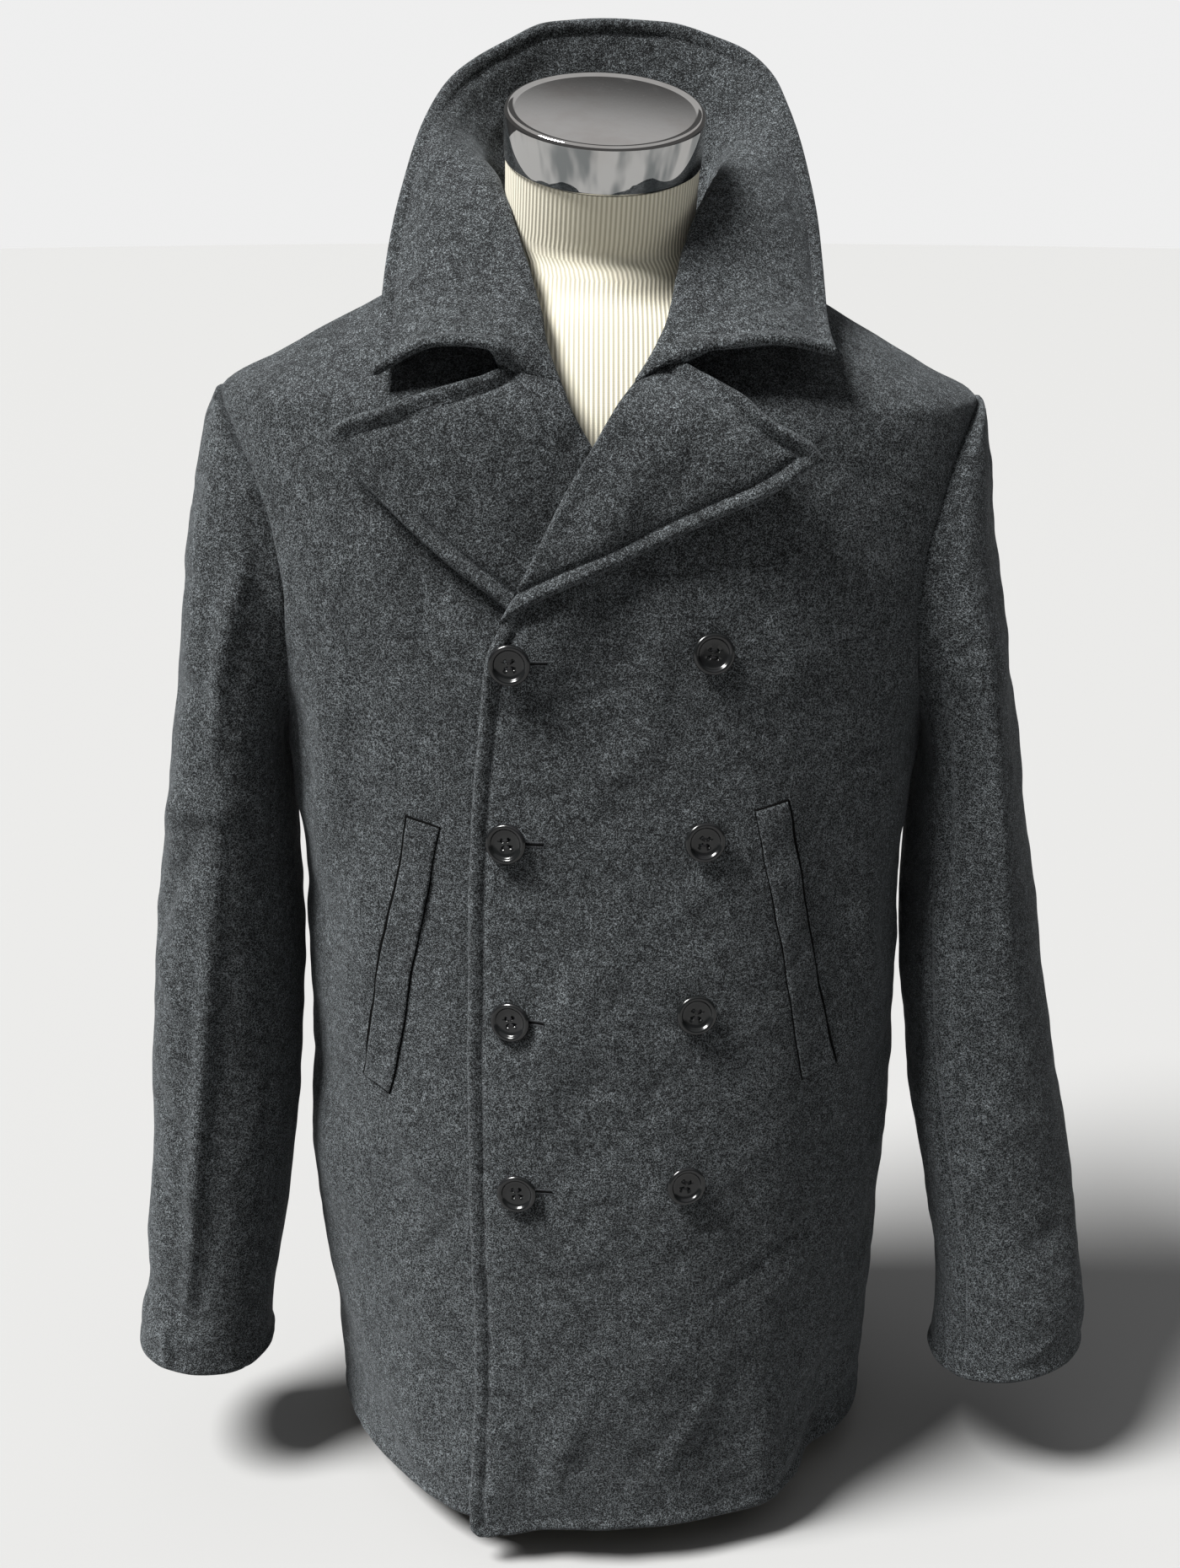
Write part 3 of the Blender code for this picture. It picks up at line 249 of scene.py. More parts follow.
# Broad sleeve folds: along (0 armhole, 1 cuff), angle (0 outer, 90 front), the
# spread of each, and height.
SLEEVE_LEFT_FOLDS = (
    (0.3, 62.0, 0.2, 16.0, 0.0045), (0.33, 98.0, 0.16, 14.0, -0.0035),
    (0.74, 70.0, 0.06, 40.0, -0.005), (0.66, 300.0, 0.05, 45.0, 0.004),
    (0.86, 40.0, 0.07, 30.0, 0.003),
)
SLEEVE_RIGHT_FOLDS = (
    (0.28, 50.0, 0.18, 16.0, 0.0035), (0.88, 60.0, 0.05, 34.0, -0.0055),
    (0.8, 35.0, 0.05, 30.0, 0.0045), (0.68, 290.0, 0.06, 45.0, 0.004),
    (0.6, 95.0, 0.07, 30.0, -0.003),
)
# Sleeve creases: one (along, angle), the other, then width and heights as above.
SLEEVE_LEFT_CREASES = (
    (0.04, 76.0, 0.6, 72.0, 0.009, 0.003, 0.0008), (0.06, 118.0, 0.5, 122.0, 0.012, -0.003, 0.0),
    (0.52, 100.0, 0.6, 60.0, 0.007, -0.0013, 0.001),
    (0.62, 110.0, 0.68, 66.0, 0.008, 0.0015, 0.0008),
    (0.78, 96.0, 0.76, 40.0, 0.008, -0.0012, 0.0008), (0.9, 60.0, 0.96, 100.0, 0.006, 0.0012, 0.0),
    (0.1, 30.0, 0.22, 8.0, 0.009, 0.0012, 0.0006), (0.44, 250.0, 0.5, 310.0, 0.009, -0.002, 0.001),
    (0.56, 240.0, 0.6, 320.0, 0.009, -0.0018, 0.001),
    (0.2, 290.0, 0.34, 320.0, 0.011, 0.0016, 0.0),
)
SLEEVE_RIGHT_CREASES = (
    (0.02, 86.0, 0.34, 82.0, 0.01, 0.003, 0.001), (0.36, 92.0, 0.9, 78.0, 0.009, 0.003, 0.0012),
    (0.34, 112.0, 0.46, 22.0, 0.008, 0.0026, 0.0012),
    (0.27, 88.0, 0.36, 14.0, 0.007, -0.0018, 0.0012),
    (0.2, 70.0, 0.28, 10.0, 0.006, -0.0012, 0.0008), (0.14, 60.0, 0.2, 6.0, 0.006, -0.001, 0.0006),
    (0.42, 74.0, 0.54, 20.0, 0.008, -0.0022, 0.001),
    (0.58, 80.0, 0.55, 26.0, 0.007, 0.0014, 0.001),
    (0.68, 84.0, 0.64, 24.0, 0.007, -0.0014, 0.0008),
    (0.76, 90.0, 0.72, 30.0, 0.006, -0.0014, 0.001),
    (0.89, 100.0, 0.84, 24.0, 0.006, -0.002, 0.0012), (0.9, 62.0, 0.99, 70.0, 0.006, 0.002, 0.001),
    (0.46, 250.0, 0.52, 316.0, 0.009, -0.002, 0.001),
    (0.6, 236.0, 0.62, 322.0, 0.009, -0.0018, 0.001),
)

LAPEL_NAMES = ("step", "x", "z", "lift")
LAPEL_LEFT_EDGE = (
    (0.0, -0.0605, 0.6265, 0.0), (0.2, -0.034, 0.641, 0.001), (0.45, 0.029, 0.672, 0.005),
    (0.62, 0.0635, 0.6885, 0.009), (0.75, 0.0855, 0.698, 0.013), (0.88, 0.107, 0.7075, 0.018),
    (1.0, 0.1235, 0.7165, 0.022),
)
LAPEL_RIGHT_EDGE = (
    (0.0, -0.042, 0.617, 0.0), (0.2, -0.0617, 0.6365, 0.0008), (0.45, -0.0882, 0.6575, 0.0034),
    (0.62, -0.104, 0.671, 0.005), (0.78, -0.12, 0.6865, 0.0072), (0.9, -0.14, 0.7085, 0.01),
    (1.0, -0.1545, 0.726, 0.012),
)
LAPEL_TOP_NAMES = ("across", "x", "z", "lift")
LAPEL_LEFT_TOP = (
    (0.0, 0.0165, 0.7605, 0.002), (0.18, 0.04, 0.772, 0.004), (0.36, 0.065, 0.7535, 0.015),
    (0.56, 0.082, 0.7455, 0.021), (0.75, 0.096, 0.7375, 0.024), (0.9, 0.1155, 0.7275, 0.024),
    (1.0, 0.1235, 0.7165, 0.022),
)
LAPEL_RIGHT_TOP = (
    (0.0, -0.0255, 0.7605, 0.002), (0.22, -0.0605, 0.765, 0.003), (0.34, -0.07, 0.7585, 0.007),
    (0.46, -0.08, 0.754, 0.011), (0.62, -0.099, 0.748, 0.013), (0.78, -0.12, 0.742, 0.014),
    (0.92, -0.1425, 0.735, 0.013), (1.0, -0.1545, 0.726, 0.012),
)

COLLAR_NAMES = ("at", "crest_x", "crest_y", "crest_z", "mid_x", "mid_y", "mid_z",
                "edge_x", "edge_y", "edge_z", "edge_x_right", "edge_z_right")
COLLAR_ROWS = (
    (0.0, 0.0, 0.091, 0.862, 0.0, 0.097, 0.915, 0.0, 0.101, 0.9665, 0.0, 0.9665),
    (0.14, 0.04, 0.083, 0.866, 0.044, 0.091, 0.915, 0.052, 0.096, 0.9605, 0.046, 0.9585),
    (0.28, 0.066, 0.058, 0.872, 0.08, 0.068, 0.908, 0.098, 0.078, 0.942, 0.087, 0.937),
    (0.42, 0.074, 0.022, 0.877, 0.099, 0.033, 0.896, 0.118, 0.044, 0.906, 0.1105, 0.905),
    (0.55, 0.068, -0.012, 0.87, 0.101, -0.004, 0.869, 0.129, 0.006, 0.858, 0.124, 0.858),
    (0.68, 0.056, -0.044, 0.848, 0.095, -0.038, 0.842, 0.132, -0.025, 0.822, 0.1305, 0.82),
    (0.8, 0.044, -0.076, 0.813, 0.085, -0.07, 0.813, 0.132, -0.055, 0.8, 0.132, 0.793),
    (0.9, 0.042, -0.104, 0.786, 0.082, -0.099, 0.794, 0.132, -0.083, 0.7875, 0.1325, 0.776),
    (1.0, 0.065, -0.114, 0.782, 0.101, -0.111, 0.786, 0.134, -0.101, 0.779, 0.133, 0.763),
)
# Soft dents and bulges of the collar's top edge: x, then how far it rises.
COLLAR_WAVE = (
    (-0.15, 0.0), (-0.1, 0.0005), (-0.068, -0.0016), (-0.04, 0.0012), (0.0, -0.0012),
    (0.042, 0.001), (0.068, 0.0), (0.1, 0.0), (0.15, 0.0),
)

WELT_RIGHT = (
    (-0.1188, 0.5035), (-0.1, 0.4985), (-0.1358, 0.3175), (-0.153, 0.3235),
)
WELT_LEFT = (
    (0.1081, 0.5154), (0.0894, 0.5114), (0.1246, 0.3309), (0.1446, 0.3357),
)

BUTTON_ROWS = (
    (0.605, -0.0544, 0.0624, 0.6096), (0.494, -0.0576, 0.0582, 0.4955),
    (0.3812, -0.0563, 0.0548, 0.3862), (0.2703, -0.0535, 0.0487, 0.2759),
)

# Sections of the form: z, half width, depth in front, depth behind, power. The neck's
# rings: distance below the cap, half widths, and how far they lean with the cap.
FORM_ROWS = (
    (0.0, 0.15, 0.112, 0.108, 2.2), (0.004, 0.153, 0.115, 0.111, 2.2),
    (0.06, 0.164, 0.124, 0.12, 2.2), (0.15, 0.168, 0.122, 0.124, 2.2),
    (0.26, 0.154, 0.108, 0.114, 2.2), (0.36, 0.146, 0.104, 0.1, 2.2),
    (0.45, 0.16, 0.114, 0.106, 2.2), (0.53, 0.182, 0.124, 0.112, 2.3),
    (0.6, 0.202, 0.127, 0.113, 2.3), (0.66, 0.214, 0.122, 0.11, 2.3),
    (0.705, 0.223, 0.115, 0.105, 2.2), (0.728, 0.229, 0.11, 0.102, 2.1),
    (0.7375, 0.2315, 0.108, 0.1, 2.1), (0.7585, 0.1985, 0.099, 0.096, 1.95),
    (0.7785, 0.163, 0.088, 0.09, 1.85), (0.7935, 0.131, 0.078, 0.082, 1.75),
    (0.806, 0.093, 0.068, 0.072, 1.6), (0.818, 0.068, 0.063, 0.064, 1.9),
)
NECK_RINGS = (
    (0.052, 0.06, 0.0595, 0.45), (0.037, 0.0582, 0.0582, 0.7), (0.02, 0.058, 0.058, 0.9),
    (0.0, 0.0582, 0.0582, 1.0),
)


# ------------------------------------------------------------ curve reading
def through(run: Array, values: Array, slopes: Array, at: Array) -> Array:
    """Cubic through values with given slopes.

    Args:
        run: Rising places of the values.
        values: One value or array of values a place.
        slopes: Their slopes.
        at: Places to read.

    Returns:
        The values there.
    """
    i = np.clip(np.searchsorted(run, at, "right") - 1, 0, len(run) - 2)
    deep = (...,) + (None,) * (values.ndim - 1)
    h = np.asarray(run[i + 1] - run[i])[deep]
    t = np.asarray(at - run[i])[deep] / h
    return ((2 * t ** 3 - 3 * t ** 2 + 1) * values[i] + (t ** 3 - 2 * t ** 2 + t) * h * slopes[i]
            + (3 * t ** 2 - 2 * t ** 3) * values[i + 1] + (t ** 3 - t ** 2) * h * slopes[i + 1])


class Track:
    """Cubic through stations, flat beyond its ends."""

    def __init__(self, keys: Sequence[float], values: Sequence[float], even: bool = False) -> None:
        """Works out the slopes.

        Args:
            keys: Rising station positions.
            values: Value at each station.
            even: Rounds through the stations instead of never passing them.
        """
        self.x, self.y = np.asarray(keys, float), np.asarray(values, float)
        h = np.diff(self.x)
        d = np.diff(self.y) / h
        self.m = np.zeros(len(self.x))
        self.m[0], self.m[-1] = d[0], d[-1]
        for i in range(1, len(d)):
            if d[i - 1] * d[i] > 0:
                w1, w2 = 2 * h[i] + h[i - 1], h[i] + 2 * h[i - 1]
                self.m[i] = (w1 + w2) / (w1 / d[i - 1] + w2 / d[i])
        if even:
            self.m = np.gradient(self.y, self.x)

    def __call__(self, key: Union[float, Array]) -> Array:
        """Value at a position or at each of an array of them."""
        return through(self.x, self.y, self.m, np.clip(key, self.x[0], self.x[-1]))


def tracks(names: Sequence[str], rows: Table, even: bool = False) -> dict[str, Track]:
    """One track per named column, keyed by the table's first column."""
    return {n: Track([r[0] for r in rows], [r[k] for r in rows], even)
            for k, n in enumerate(names) if k}


def ease(t: Union[float, Array]) -> Array:
    """Smooth step from 0 to 1."""
    t = np.clip(t, 0.0, 1.0)
    return t * t * (3 - 2 * t)


def unit(v: Array) -> Array:
    """Vectors along the last axis, scaled to length 1."""
    return v / np.maximum(np.linalg.norm(v, axis=-1, keepdims=True), 1e-12)


def run_of(points: Array, axis: int = 0) -> Array:
    """Length along lines of points, up to each point."""
    steps = np.cumsum(np.linalg.norm(np.diff(points, axis=axis), axis=-1), axis=axis)
    return np.concatenate((np.zeros_like(np.take(steps, [0], axis)), steps), axis=axis)


def read(at: Union[float, Array], run: Array, values: Array) -> Array:
    """Columns of values that stand at run, read at other places."""
    return np.stack([np.interp(at, run, column) for column in values.T], -1)


def curve(points: Array, t: Array) -> Array:
    """Rounded curve through points, read at shares of its length."""
    run = run_of(points)
    run /= run[-1]
    return through(run, points, np.gradient(points, run, axis=0), t)


def oval(turn: Array, half: Array, depth: Array, power: Array, z: Array) -> Array:
    """Points of a squared-off oval section.

    Args:
        turn: Angles from straight ahead.
        half: Half width.
        depth: Depth ahead or behind.
        power: 2 for an ellipse, more for a squarer section.
        z: Heights.

    Returns:
        The points.
    """
    s, c = np.sin(turn), np.cos(turn)
    r = ((np.abs(s) / half) ** power + (np.abs(c) / depth) ** power) ** (-1 / power)
    return np.stack((r * s, -r * c, z), -1)


def settle(p: Array) -> Array:
    """The worn coat leans a little: its left shoulder sits lower."""
    out = np.array(p, float)
    x, z = out[..., 0].copy(), out[..., 2].copy()
    high = ease((z - 0.50) / 0.20)
    out[..., 0] = x - 0.003 * high * ease((np.abs(x) - 0.10) / 0.08)
    out[..., 2] = z - 0.016 * x * high
    return out


@dataclass(frozen=True)
class Rumple:
    """Fine unevenness of heavy wool: waves in many directions, always the same."""

    seed: int
    bands: tuple[tuple[float, float], ...] = ((0.080, 0.00045), (0.034, 0.00022), (0.017, 0.00012))
    waves: int = 5

    def at(self, p: Array) -> Array:
        """Height of the unevenness at points in space."""
        rng = np.random.default_rng(self.seed)
        total = np.zeros(p.shape[:-1])
        for length, height in self.bands:
            for _ in range(self.waves):
                way = unit(rng.normal(size=3)) * 2 * math.pi / (length * rng.uniform(0.7, 1.4))
                wave = np.sin(p @ way + rng.uniform(0, 6.3))
                total += height / math.sqrt(self.waves) * 1.6 * wave
        return total


SMOOTH = Rumple(0, ((1.0, 0.0),), 1)


# -------------------------------------------------------------- body of cloth
class Drape:
    """The draped body of the coat: the surface that every panel is cut from."""

    def __init__(self, calm: bool = False) -> None:
        """Reads the section tables.

        Args:
            calm: Leaves the small creases out, for pieces that bridge them.
        """
        self.folds = LARGE_FOLDS if calm else LARGE_FOLDS + SMALL_CREASES
        self.rumple = SMOOTH if calm else Rumple(
            7, ((0.085, 0.00060), (0.038, 0.00030), (0.019, 0.00014)))
        self.body = tracks(BODY_NAMES, BODY_ROWS)
        self.edge = tracks(("z", "x"), EDGE_ROWS)["x"]
        self.roll = tracks(ROLL_NAMES, ROLL_ROWS)
        self.neck = tracks(ROLL_NAMES, NECK_ROWS)

    def section(self, z: Array, face: int) -> tuple[Array, Array, Array]:
        """Half width, depth and power of the front (1) or back (-1) at a height."""
        name = "front" if face > 0 else "back"
        return self.body["half"](z), self.body[name](z), self.body[name + "_pow"](z)

    def point(self, turn: Array, z: Array) -> Array:
        """Points at angles round the body and heights."""
        turn, z = np.broadcast_arrays(np.asarray(turn, float), np.asarray(z, float))
        ahead = np.cos(turn) > 0
        shape = [np.where(ahead, f, b) for f, b in zip(self.section(z, 1), self.section(z, -1))]
        p = oval(turn, *shape, z)
        way = np.stack((np.sin(turn), -np.cos(turn), np.zeros_like(z)), -1)
        rise = self.relief(p[..., 0], z, ahead) + self.rumple.at(p)
        return p + rise[..., None] * way

    def relief(self, x: Array, z: Array, ahead: Array) -> Array:
        """Height of the folds and creases over the plain sections."""
        total = np.zeros_like(x)
        for face, x0, z0, x1, z1, width, height, tip in self.folds:
            dx, dz = x1 - x0, z1 - z0
            long = math.hypot(dx, dz)
            t = ((x - x0) * dx + (z - z0) * dz) / long ** 2
            tc = np.clip(t, 0.0, 1.0)
            far = np.hypot(x - x0 - tc * dx, z - z0 - tc * dz)
            across = ((x - x0) * dz - (z - z0) * dx) / long / width
            from_hem = z0 < HEM_FOLD_Z
            fade = 1 - ease((t - 0.35) / 0.65) if from_hem else np.sin(math.pi * tc)
            near = np.exp(-(far / width) ** 2)
            tall = (height + tip * TIP * np.clip(across, -2, 2)) * (1.0 if from_hem else GATHER)
            lift = fade * near * tall
            total += np.where(ahead, lift if face >= 0 else 0.0, lift if face <= 0 else 0.0)
        return total

    def normal(self, turn: Array, z: Array, dt: float = 0.004, dz: float = 0.0015) -> Array:
        """Outward normals of the draped body."""
        a = self.point(turn + dt, z) - self.point(turn - dt, z)
        b = self.point(turn, z + dz) - self.point(turn, z - dz)
        return unit(np.cross(a, b))

    def turn_at(self, x: Array, z: Array, face: int = 1) -> Array:
        """Angle of the body points with a given x on the front (1) or back (-1)."""
        half, depth, power = self.section(z, face)
        y = depth * np.maximum(1 - np.minimum(np.abs(x) / half, 1.0) ** power, 0.0) ** (1 / power)
        return np.arctan2(x, face * y)

    def armhole_turn(self, z: Array, face: int = 1) -> Array:
        """Angle at which the armhole seam crosses a height."""
        t = 1 - ((z - SIZE.armhole_mid_z) / SIZE.armhole_half) ** 2
        y = (SIZE.armhole_front if face > 0 else SIZE.armhole_back) * np.sqrt(np.maximum(t, 0.0))
        half, depth, power = self.section(z, face)
        x = half * (1 - (y / depth) ** power) ** (1 / power)
        return np.arctan2(x, face * y)

    def side_turn(self, z: Array, face: int) -> Array:
        """Angle of a panel's outer border: side seam, armhole, then shoulder seam."""
        hole = self.armhole_turn(z, face)
        inside = (z >= SIZE.armhole_mid_z - SIZE.armhole_half) & (z <= SIZE.shoulder_z)
        quarter = math.pi / 2
        limit = np.minimum(hole, quarter) if face > 0 else np.maximum(hole, quarter)
        return np.where(inside, limit, quarter)

    def roll_x(self, side: Side, z: Array) -> Array:
        """x of a front's inner border: edge, roll line, then neck seam."""
        z = np.asarray(z, float)
        corner = np.maximum(SIZE.corner - (z - SIZE.hem_z), 0.0)
        edge = self.edge(z) + SIZE.corner - np.sqrt(np.maximum(SIZE.corner ** 2 - corner ** 2, 0.0))
        low = side.value * edge
        roll, neck = self.roll[side.word](z), self.neck[side.word](z)
        return np.where(z <= SIZE.break_z, low, np.where(z <= SIZE.gorge_z, roll, neck))

    def left_lift(self, x: Array, z: Array) -> Array:
        """How far the overlapping left front stands out from the body."""
        over = (SIZE.wall + SIZE.lap) * (1 - ease((x - 0.104) / 0.034)) \
            * (1 - ease((z - 0.735) / 0.030))
        inside = x - self.roll_x(Side.LEFT, np.clip(z, SIZE.hem_z + SIZE.corner, SIZE.gorge_z))
        lapel = 0.0056 * (1 - ease((inside - 0.030) / 0.030)) \
            * ease((z - 0.572) / 0.036) * (1 - ease((z - 0.734) / 0.026))
        flare = 0.006 * (1 - ease(inside / 0.045)) * (1 - ease((z - SIZE.hem_z) / 0.11))
        roll = 0.0042 * np.exp(-(inside / 0.019) ** 2) * ease((z - 0.622) / 0.05) \
            * (1 - ease((z - 0.735) / 0.030))
        return over + lapel + flare + roll

    def front(self, side: Side, x: Array, z: Array, out: Array) -> tuple[Array, Array]:
        """Points over a front panel.

        Args:
            side: Which front.
            x: Their x.
            z: Their heights.
            out: Distance outside the panel's outer face.

        Returns:
            The points and the outward normals there, before settling.
        """
        x, z = np.broadcast_arrays(np.asarray(x, float), np.asarray(z, float))
        turn = self.turn_at(x, z)
        lift = self.left_lift(x, z) if side is Side.LEFT else 0.0
        n = self.normal(turn, z)
        rise = np.broadcast_to(lift + np.asarray(out, float), x.shape)
        return self.point(turn, z) + rise[..., None] * n, n


DRAPE = Drape()
CALM = Drape(calm=True)


# ----------------------------------------------------------------- cloth work
@dataclass
class Border:
    """One finished border of a grid of cloth."""

    line: Array
    kind: Kind


def along_line(line: Array, pace: float = 0.001) -> Array:
    """A polyline resampled at an even pace."""
    run = run_of(line)
    return read(np.linspace(0.0, run[-1], max(int(run[-1] / pace), 2)), run, line)


def reach(points: Array, line: Array) -> tuple[Array, Array]:
    """Distance from each point to a line.

    Args:
        points: Grid of points, any shape x 3.
        line: Polyline, count x 3.

    Returns:
        Distances, and the length along the line of the nearest place.
    """
    dense = along_line(line)
    tree = kdtree.KDTree(len(dense))
    for i, p in enumerate(dense):
        tree.insert(p, i)
    tree.balance()
    flat = points.reshape(-1, 3)
    near = np.array([tree.find(p)[1] for p in flat])
    best = np.full(len(flat), np.inf)
    where = np.zeros(len(flat))
    pace = np.linalg.norm(dense[1] - dense[0])
    for shift in (-1, 0):
        low = np.clip(near + shift, 0, len(dense) - 2)
        a = dense[low]
        ab = dense[low + 1] - a
        t = np.clip(((flat - a) * ab).sum(1) / np.maximum((ab * ab).sum(1), 1e-18), 0, 1)
        d = np.linalg.norm(flat - a - t[:, None] * ab, axis=1)
        closer = d < best
        best, where = np.where(closer, d, best), np.where(closer, (low + t) * pace, where)
    return best.reshape(points.shape[:-1]), where.reshape(points.shape[:-1])


LADDER = (0.0, 0.00030, 0.00085, 0.0017, 0.0029, 0.0046, 0.0066, 0.0083, 0.0092, 0.0098,
          0.0104, 0.0114, 0.0132)
SEAM_LADDER = (0.0, 0.0009, 0.0022, 0.0045)
SLEEVE_LADDER = (0.0, 0.0007, 0.0013, 0.0021, 0.0032, 0.0050, 0.0080)
NEXT_LINE = 10.0        # keeps the places along one border apart from the next's


def shares(width: Array, start: Sequence[float], end: Sequence[float], pace: float) -> Array:
    """Shares across a strip with close steps at its borders.

    Args:
        width: Strip width at each row.
        start: Distances from the first border to step at.
        end: Distances from the last border to step at.
        pace: Step between them where the strip is widest.

    Returns:
        Rows x columns of shares from 0 to 1.
    """
    a, b = np.asarray(start, float), np.asarray(end, float)[::-1]
    width = np.asarray(width, float)
    room = np.maximum(width, 1e-6)
    scale = np.minimum(1.0, 0.48 * room / max(a[-1], b[0], 1e-9))
    low, high = a[-1] * scale, b[0] * scale
    count = max(int((width.max() - a[-1] - b[0]) / pace), 3)
    mid = np.linspace(0.0, 1.0, count + 1)[1:-1]
    parts = [a[None, :] * scale[:, None],
             low[:, None] + (room - low - high)[:, None] * mid[None, :],
             room[:, None] - b[None, :] * scale[:, None]]
    return np.clip(np.concatenate(parts, axis=1) / room[:, None], 0.0, 1.0)


@dataclass
class ClothPiece:
    """A piece of cloth ready to be made up from a grid of middle points."""

    name: str
    middle: Array
    normals: Array
    wall: float
    borders: list[Border] = field(default_factory=list)
    rumple: Rumple = Rumple(1)
    puff: float = 0.0016
    under: float = 0.0002
    both: float = 0.0
    groove: float = 0.0012
    dip: float = 0.0007
    round_over: float = 0.0030

    def __post_init__(self) -> None:
        """Measures how far each grid point is from the borders."""
        self.depth: dict[Kind, Array] = {}
        self.place: dict[Kind, Array] = {}
        for kind in Kind:
            lines = [b.line for b in self.borders if b.kind is kind]
            if not lines:
                continue
            dist = np.full(self.middle.shape[:-1], np.inf)
            place = np.zeros_like(dist)
            for k, line in enumerate(lines):
                d, s = reach(self.middle, line)
                place = np.where(d < dist, s + NEXT_LINE * k, place)
                dist = np.minimum(d, dist)
            self.depth[kind], self.place[kind] = dist, place

    def faces(self) -> tuple[Array, Array]:
        """Points of the outer and inner faces."""
        half = np.full(self.middle.shape[:-1], self.wall / 2)
        shape, soft = np.ones_like(half), np.zeros_like(half)
        relief, groove = self.rumple.at(self.middle), np.zeros_like(half)
        for kind, d in self.depth.items():
            if kind is Kind.SEAMED:
                relief = relief * ease(d / 0.012) - self.dip * np.exp(-(d / 0.0019) ** 2)
                continue
            flank = 1 - np.minimum(d / self.round_over, 1.0)
            shape = shape * np.sqrt(np.clip(1 - flank ** 2, 0.01, 1.0))
            if kind is not Kind.ROLLED:
                swell = np.sin(math.pi * np.clip(d / SIZE.stitch_in, 0, 1) ** 0.62)
                soft = np.maximum(soft, swell * np.where(d < SIZE.stitch_in, 1.0, 0.0))
            if kind is Kind.TURNED:
                relief = relief * ease(d / 0.02)
                off = d - SIZE.stitch_in
                groove = np.minimum(groove, -self.groove * np.exp(-(off / 0.0017) ** 2)
                                    - 0.5 * self.groove * np.exp(-(off / 0.0055) ** 2))
        n = self.normals
        face = (half + self.puff * soft) * shape + relief + groove
        back = (half + self.under * soft) * shape - 0.4 * relief + self.both * groove
        return self.middle + face[..., None] * n, self.middle - back[..., None] * n

    def make(self, finish: bpy.types.Material) -> bpy.types.Object:
        """Closed wall, by extruding one operator-made grid.

        Args:
            finish: Its material.

        Returns:
            The finished object, smooth-shaded.
        """
        face, back = self.faces()
        rows, cols = face.shape[:2]
        bm = bmesh.new()
        made = bmesh.ops.create_grid(bm, x_segments=cols - 1, y_segments=rows - 1, size=0.5)
        outer = cells(made["verts"], rows, cols)
        grown = bmesh.ops.extrude_face_region(bm, geom=bm.faces[:], use_keep_orig=True)
        inner = cells([g for g in grown["geom"] if isinstance(g, bmesh.types.BMVert)], rows, cols)
        for places, points in ((outer, settle(face)), (inner, settle(back))):
            for v, (i, j) in places.items():
                v.co = points[i, j]
        return cast(bm, self.name, finish)

    def seam_path(self, kind: Kind, inset: float) -> tuple[Array, Array]:
        """Points on the outer face at a distance inside a border, in order.

        Args:
            kind: Which borders to follow.
            inset: Distance from them.

        Returns:
            Points and outward normals along the path.
        """
        d, s = self.depth[kind], self.place[kind]
        face, _ = self.faces()
        face = settle(face)
        found: list[tuple[float, Array, Array]] = []
        for axis in (0, 1):
            dd, ss = np.moveaxis(d, axis, 0), np.moveaxis(s, axis, 0)
            ff, nn = np.moveaxis(face, axis, 0), np.moveaxis(self.normals, axis, 0)
            cross = (dd[:-1] - inset) * (dd[1:] - inset) < 0
            for i, j in zip(*np.nonzero(cross)):
                t = (inset - dd[i, j]) / (dd[i + 1, j] - dd[i, j])
                found.append((ss[i, j] * (1 - t) + ss[i + 1, j] * t,
                              ff[i, j] * (1 - t) + ff[i + 1, j] * t, nn[i, j]))
        found.sort(key=lambda f: f[0])
        pts, nrm = np.array([f[1] for f in found]), np.array([f[2] for f in found])
        keep = [0]
        for k in range(1, len(pts)):
            if np.linalg.norm(pts[k] - pts[keep[-1]]) > 0.0022:
                keep.append(k)
        return pts[keep], nrm[keep]


def cells(verts: Sequence[bmesh.types.BMVert], rows: int, cols: int) -> dict[Any, tuple[int, int]]:
    """Row and column of each vertex of a grid one unit across."""
    return {v: (round((v.co.y + 0.5) * (rows - 1)), round((v.co.x + 0.5) * (cols - 1)))
            for v in verts}


def spun(profile: Table, steps: int) -> bmesh.types.BMesh:
    """Solid turned about Z.

    Args:
        profile: Its radii and heights, from axis to axis.
        steps: Facets round it.

    Returns:
        The mesh, its seam still unwelded.
    """
    bm = bmesh.new()
    verts = [bm.verts.new((x, 0.0, z)) for x, z in profile]
    edges = [bm.edges.new(pair) for pair in zip(verts, verts[1:])]
    bmesh.ops.spin(bm, geom=verts + edges, cent=(0, 0, 0), axis=(0, 0, 1),
                   angle=2 * math.pi, steps=steps, use_merge=True, use_duplicate=False)
    return bm


def linked(name: str, data: Any) -> bpy.types.Object:
    """A new object in the scene."""
    obj = bpy.data.objects.new(name, data)
    bpy.context.scene.collection.objects.link(obj)
    return obj


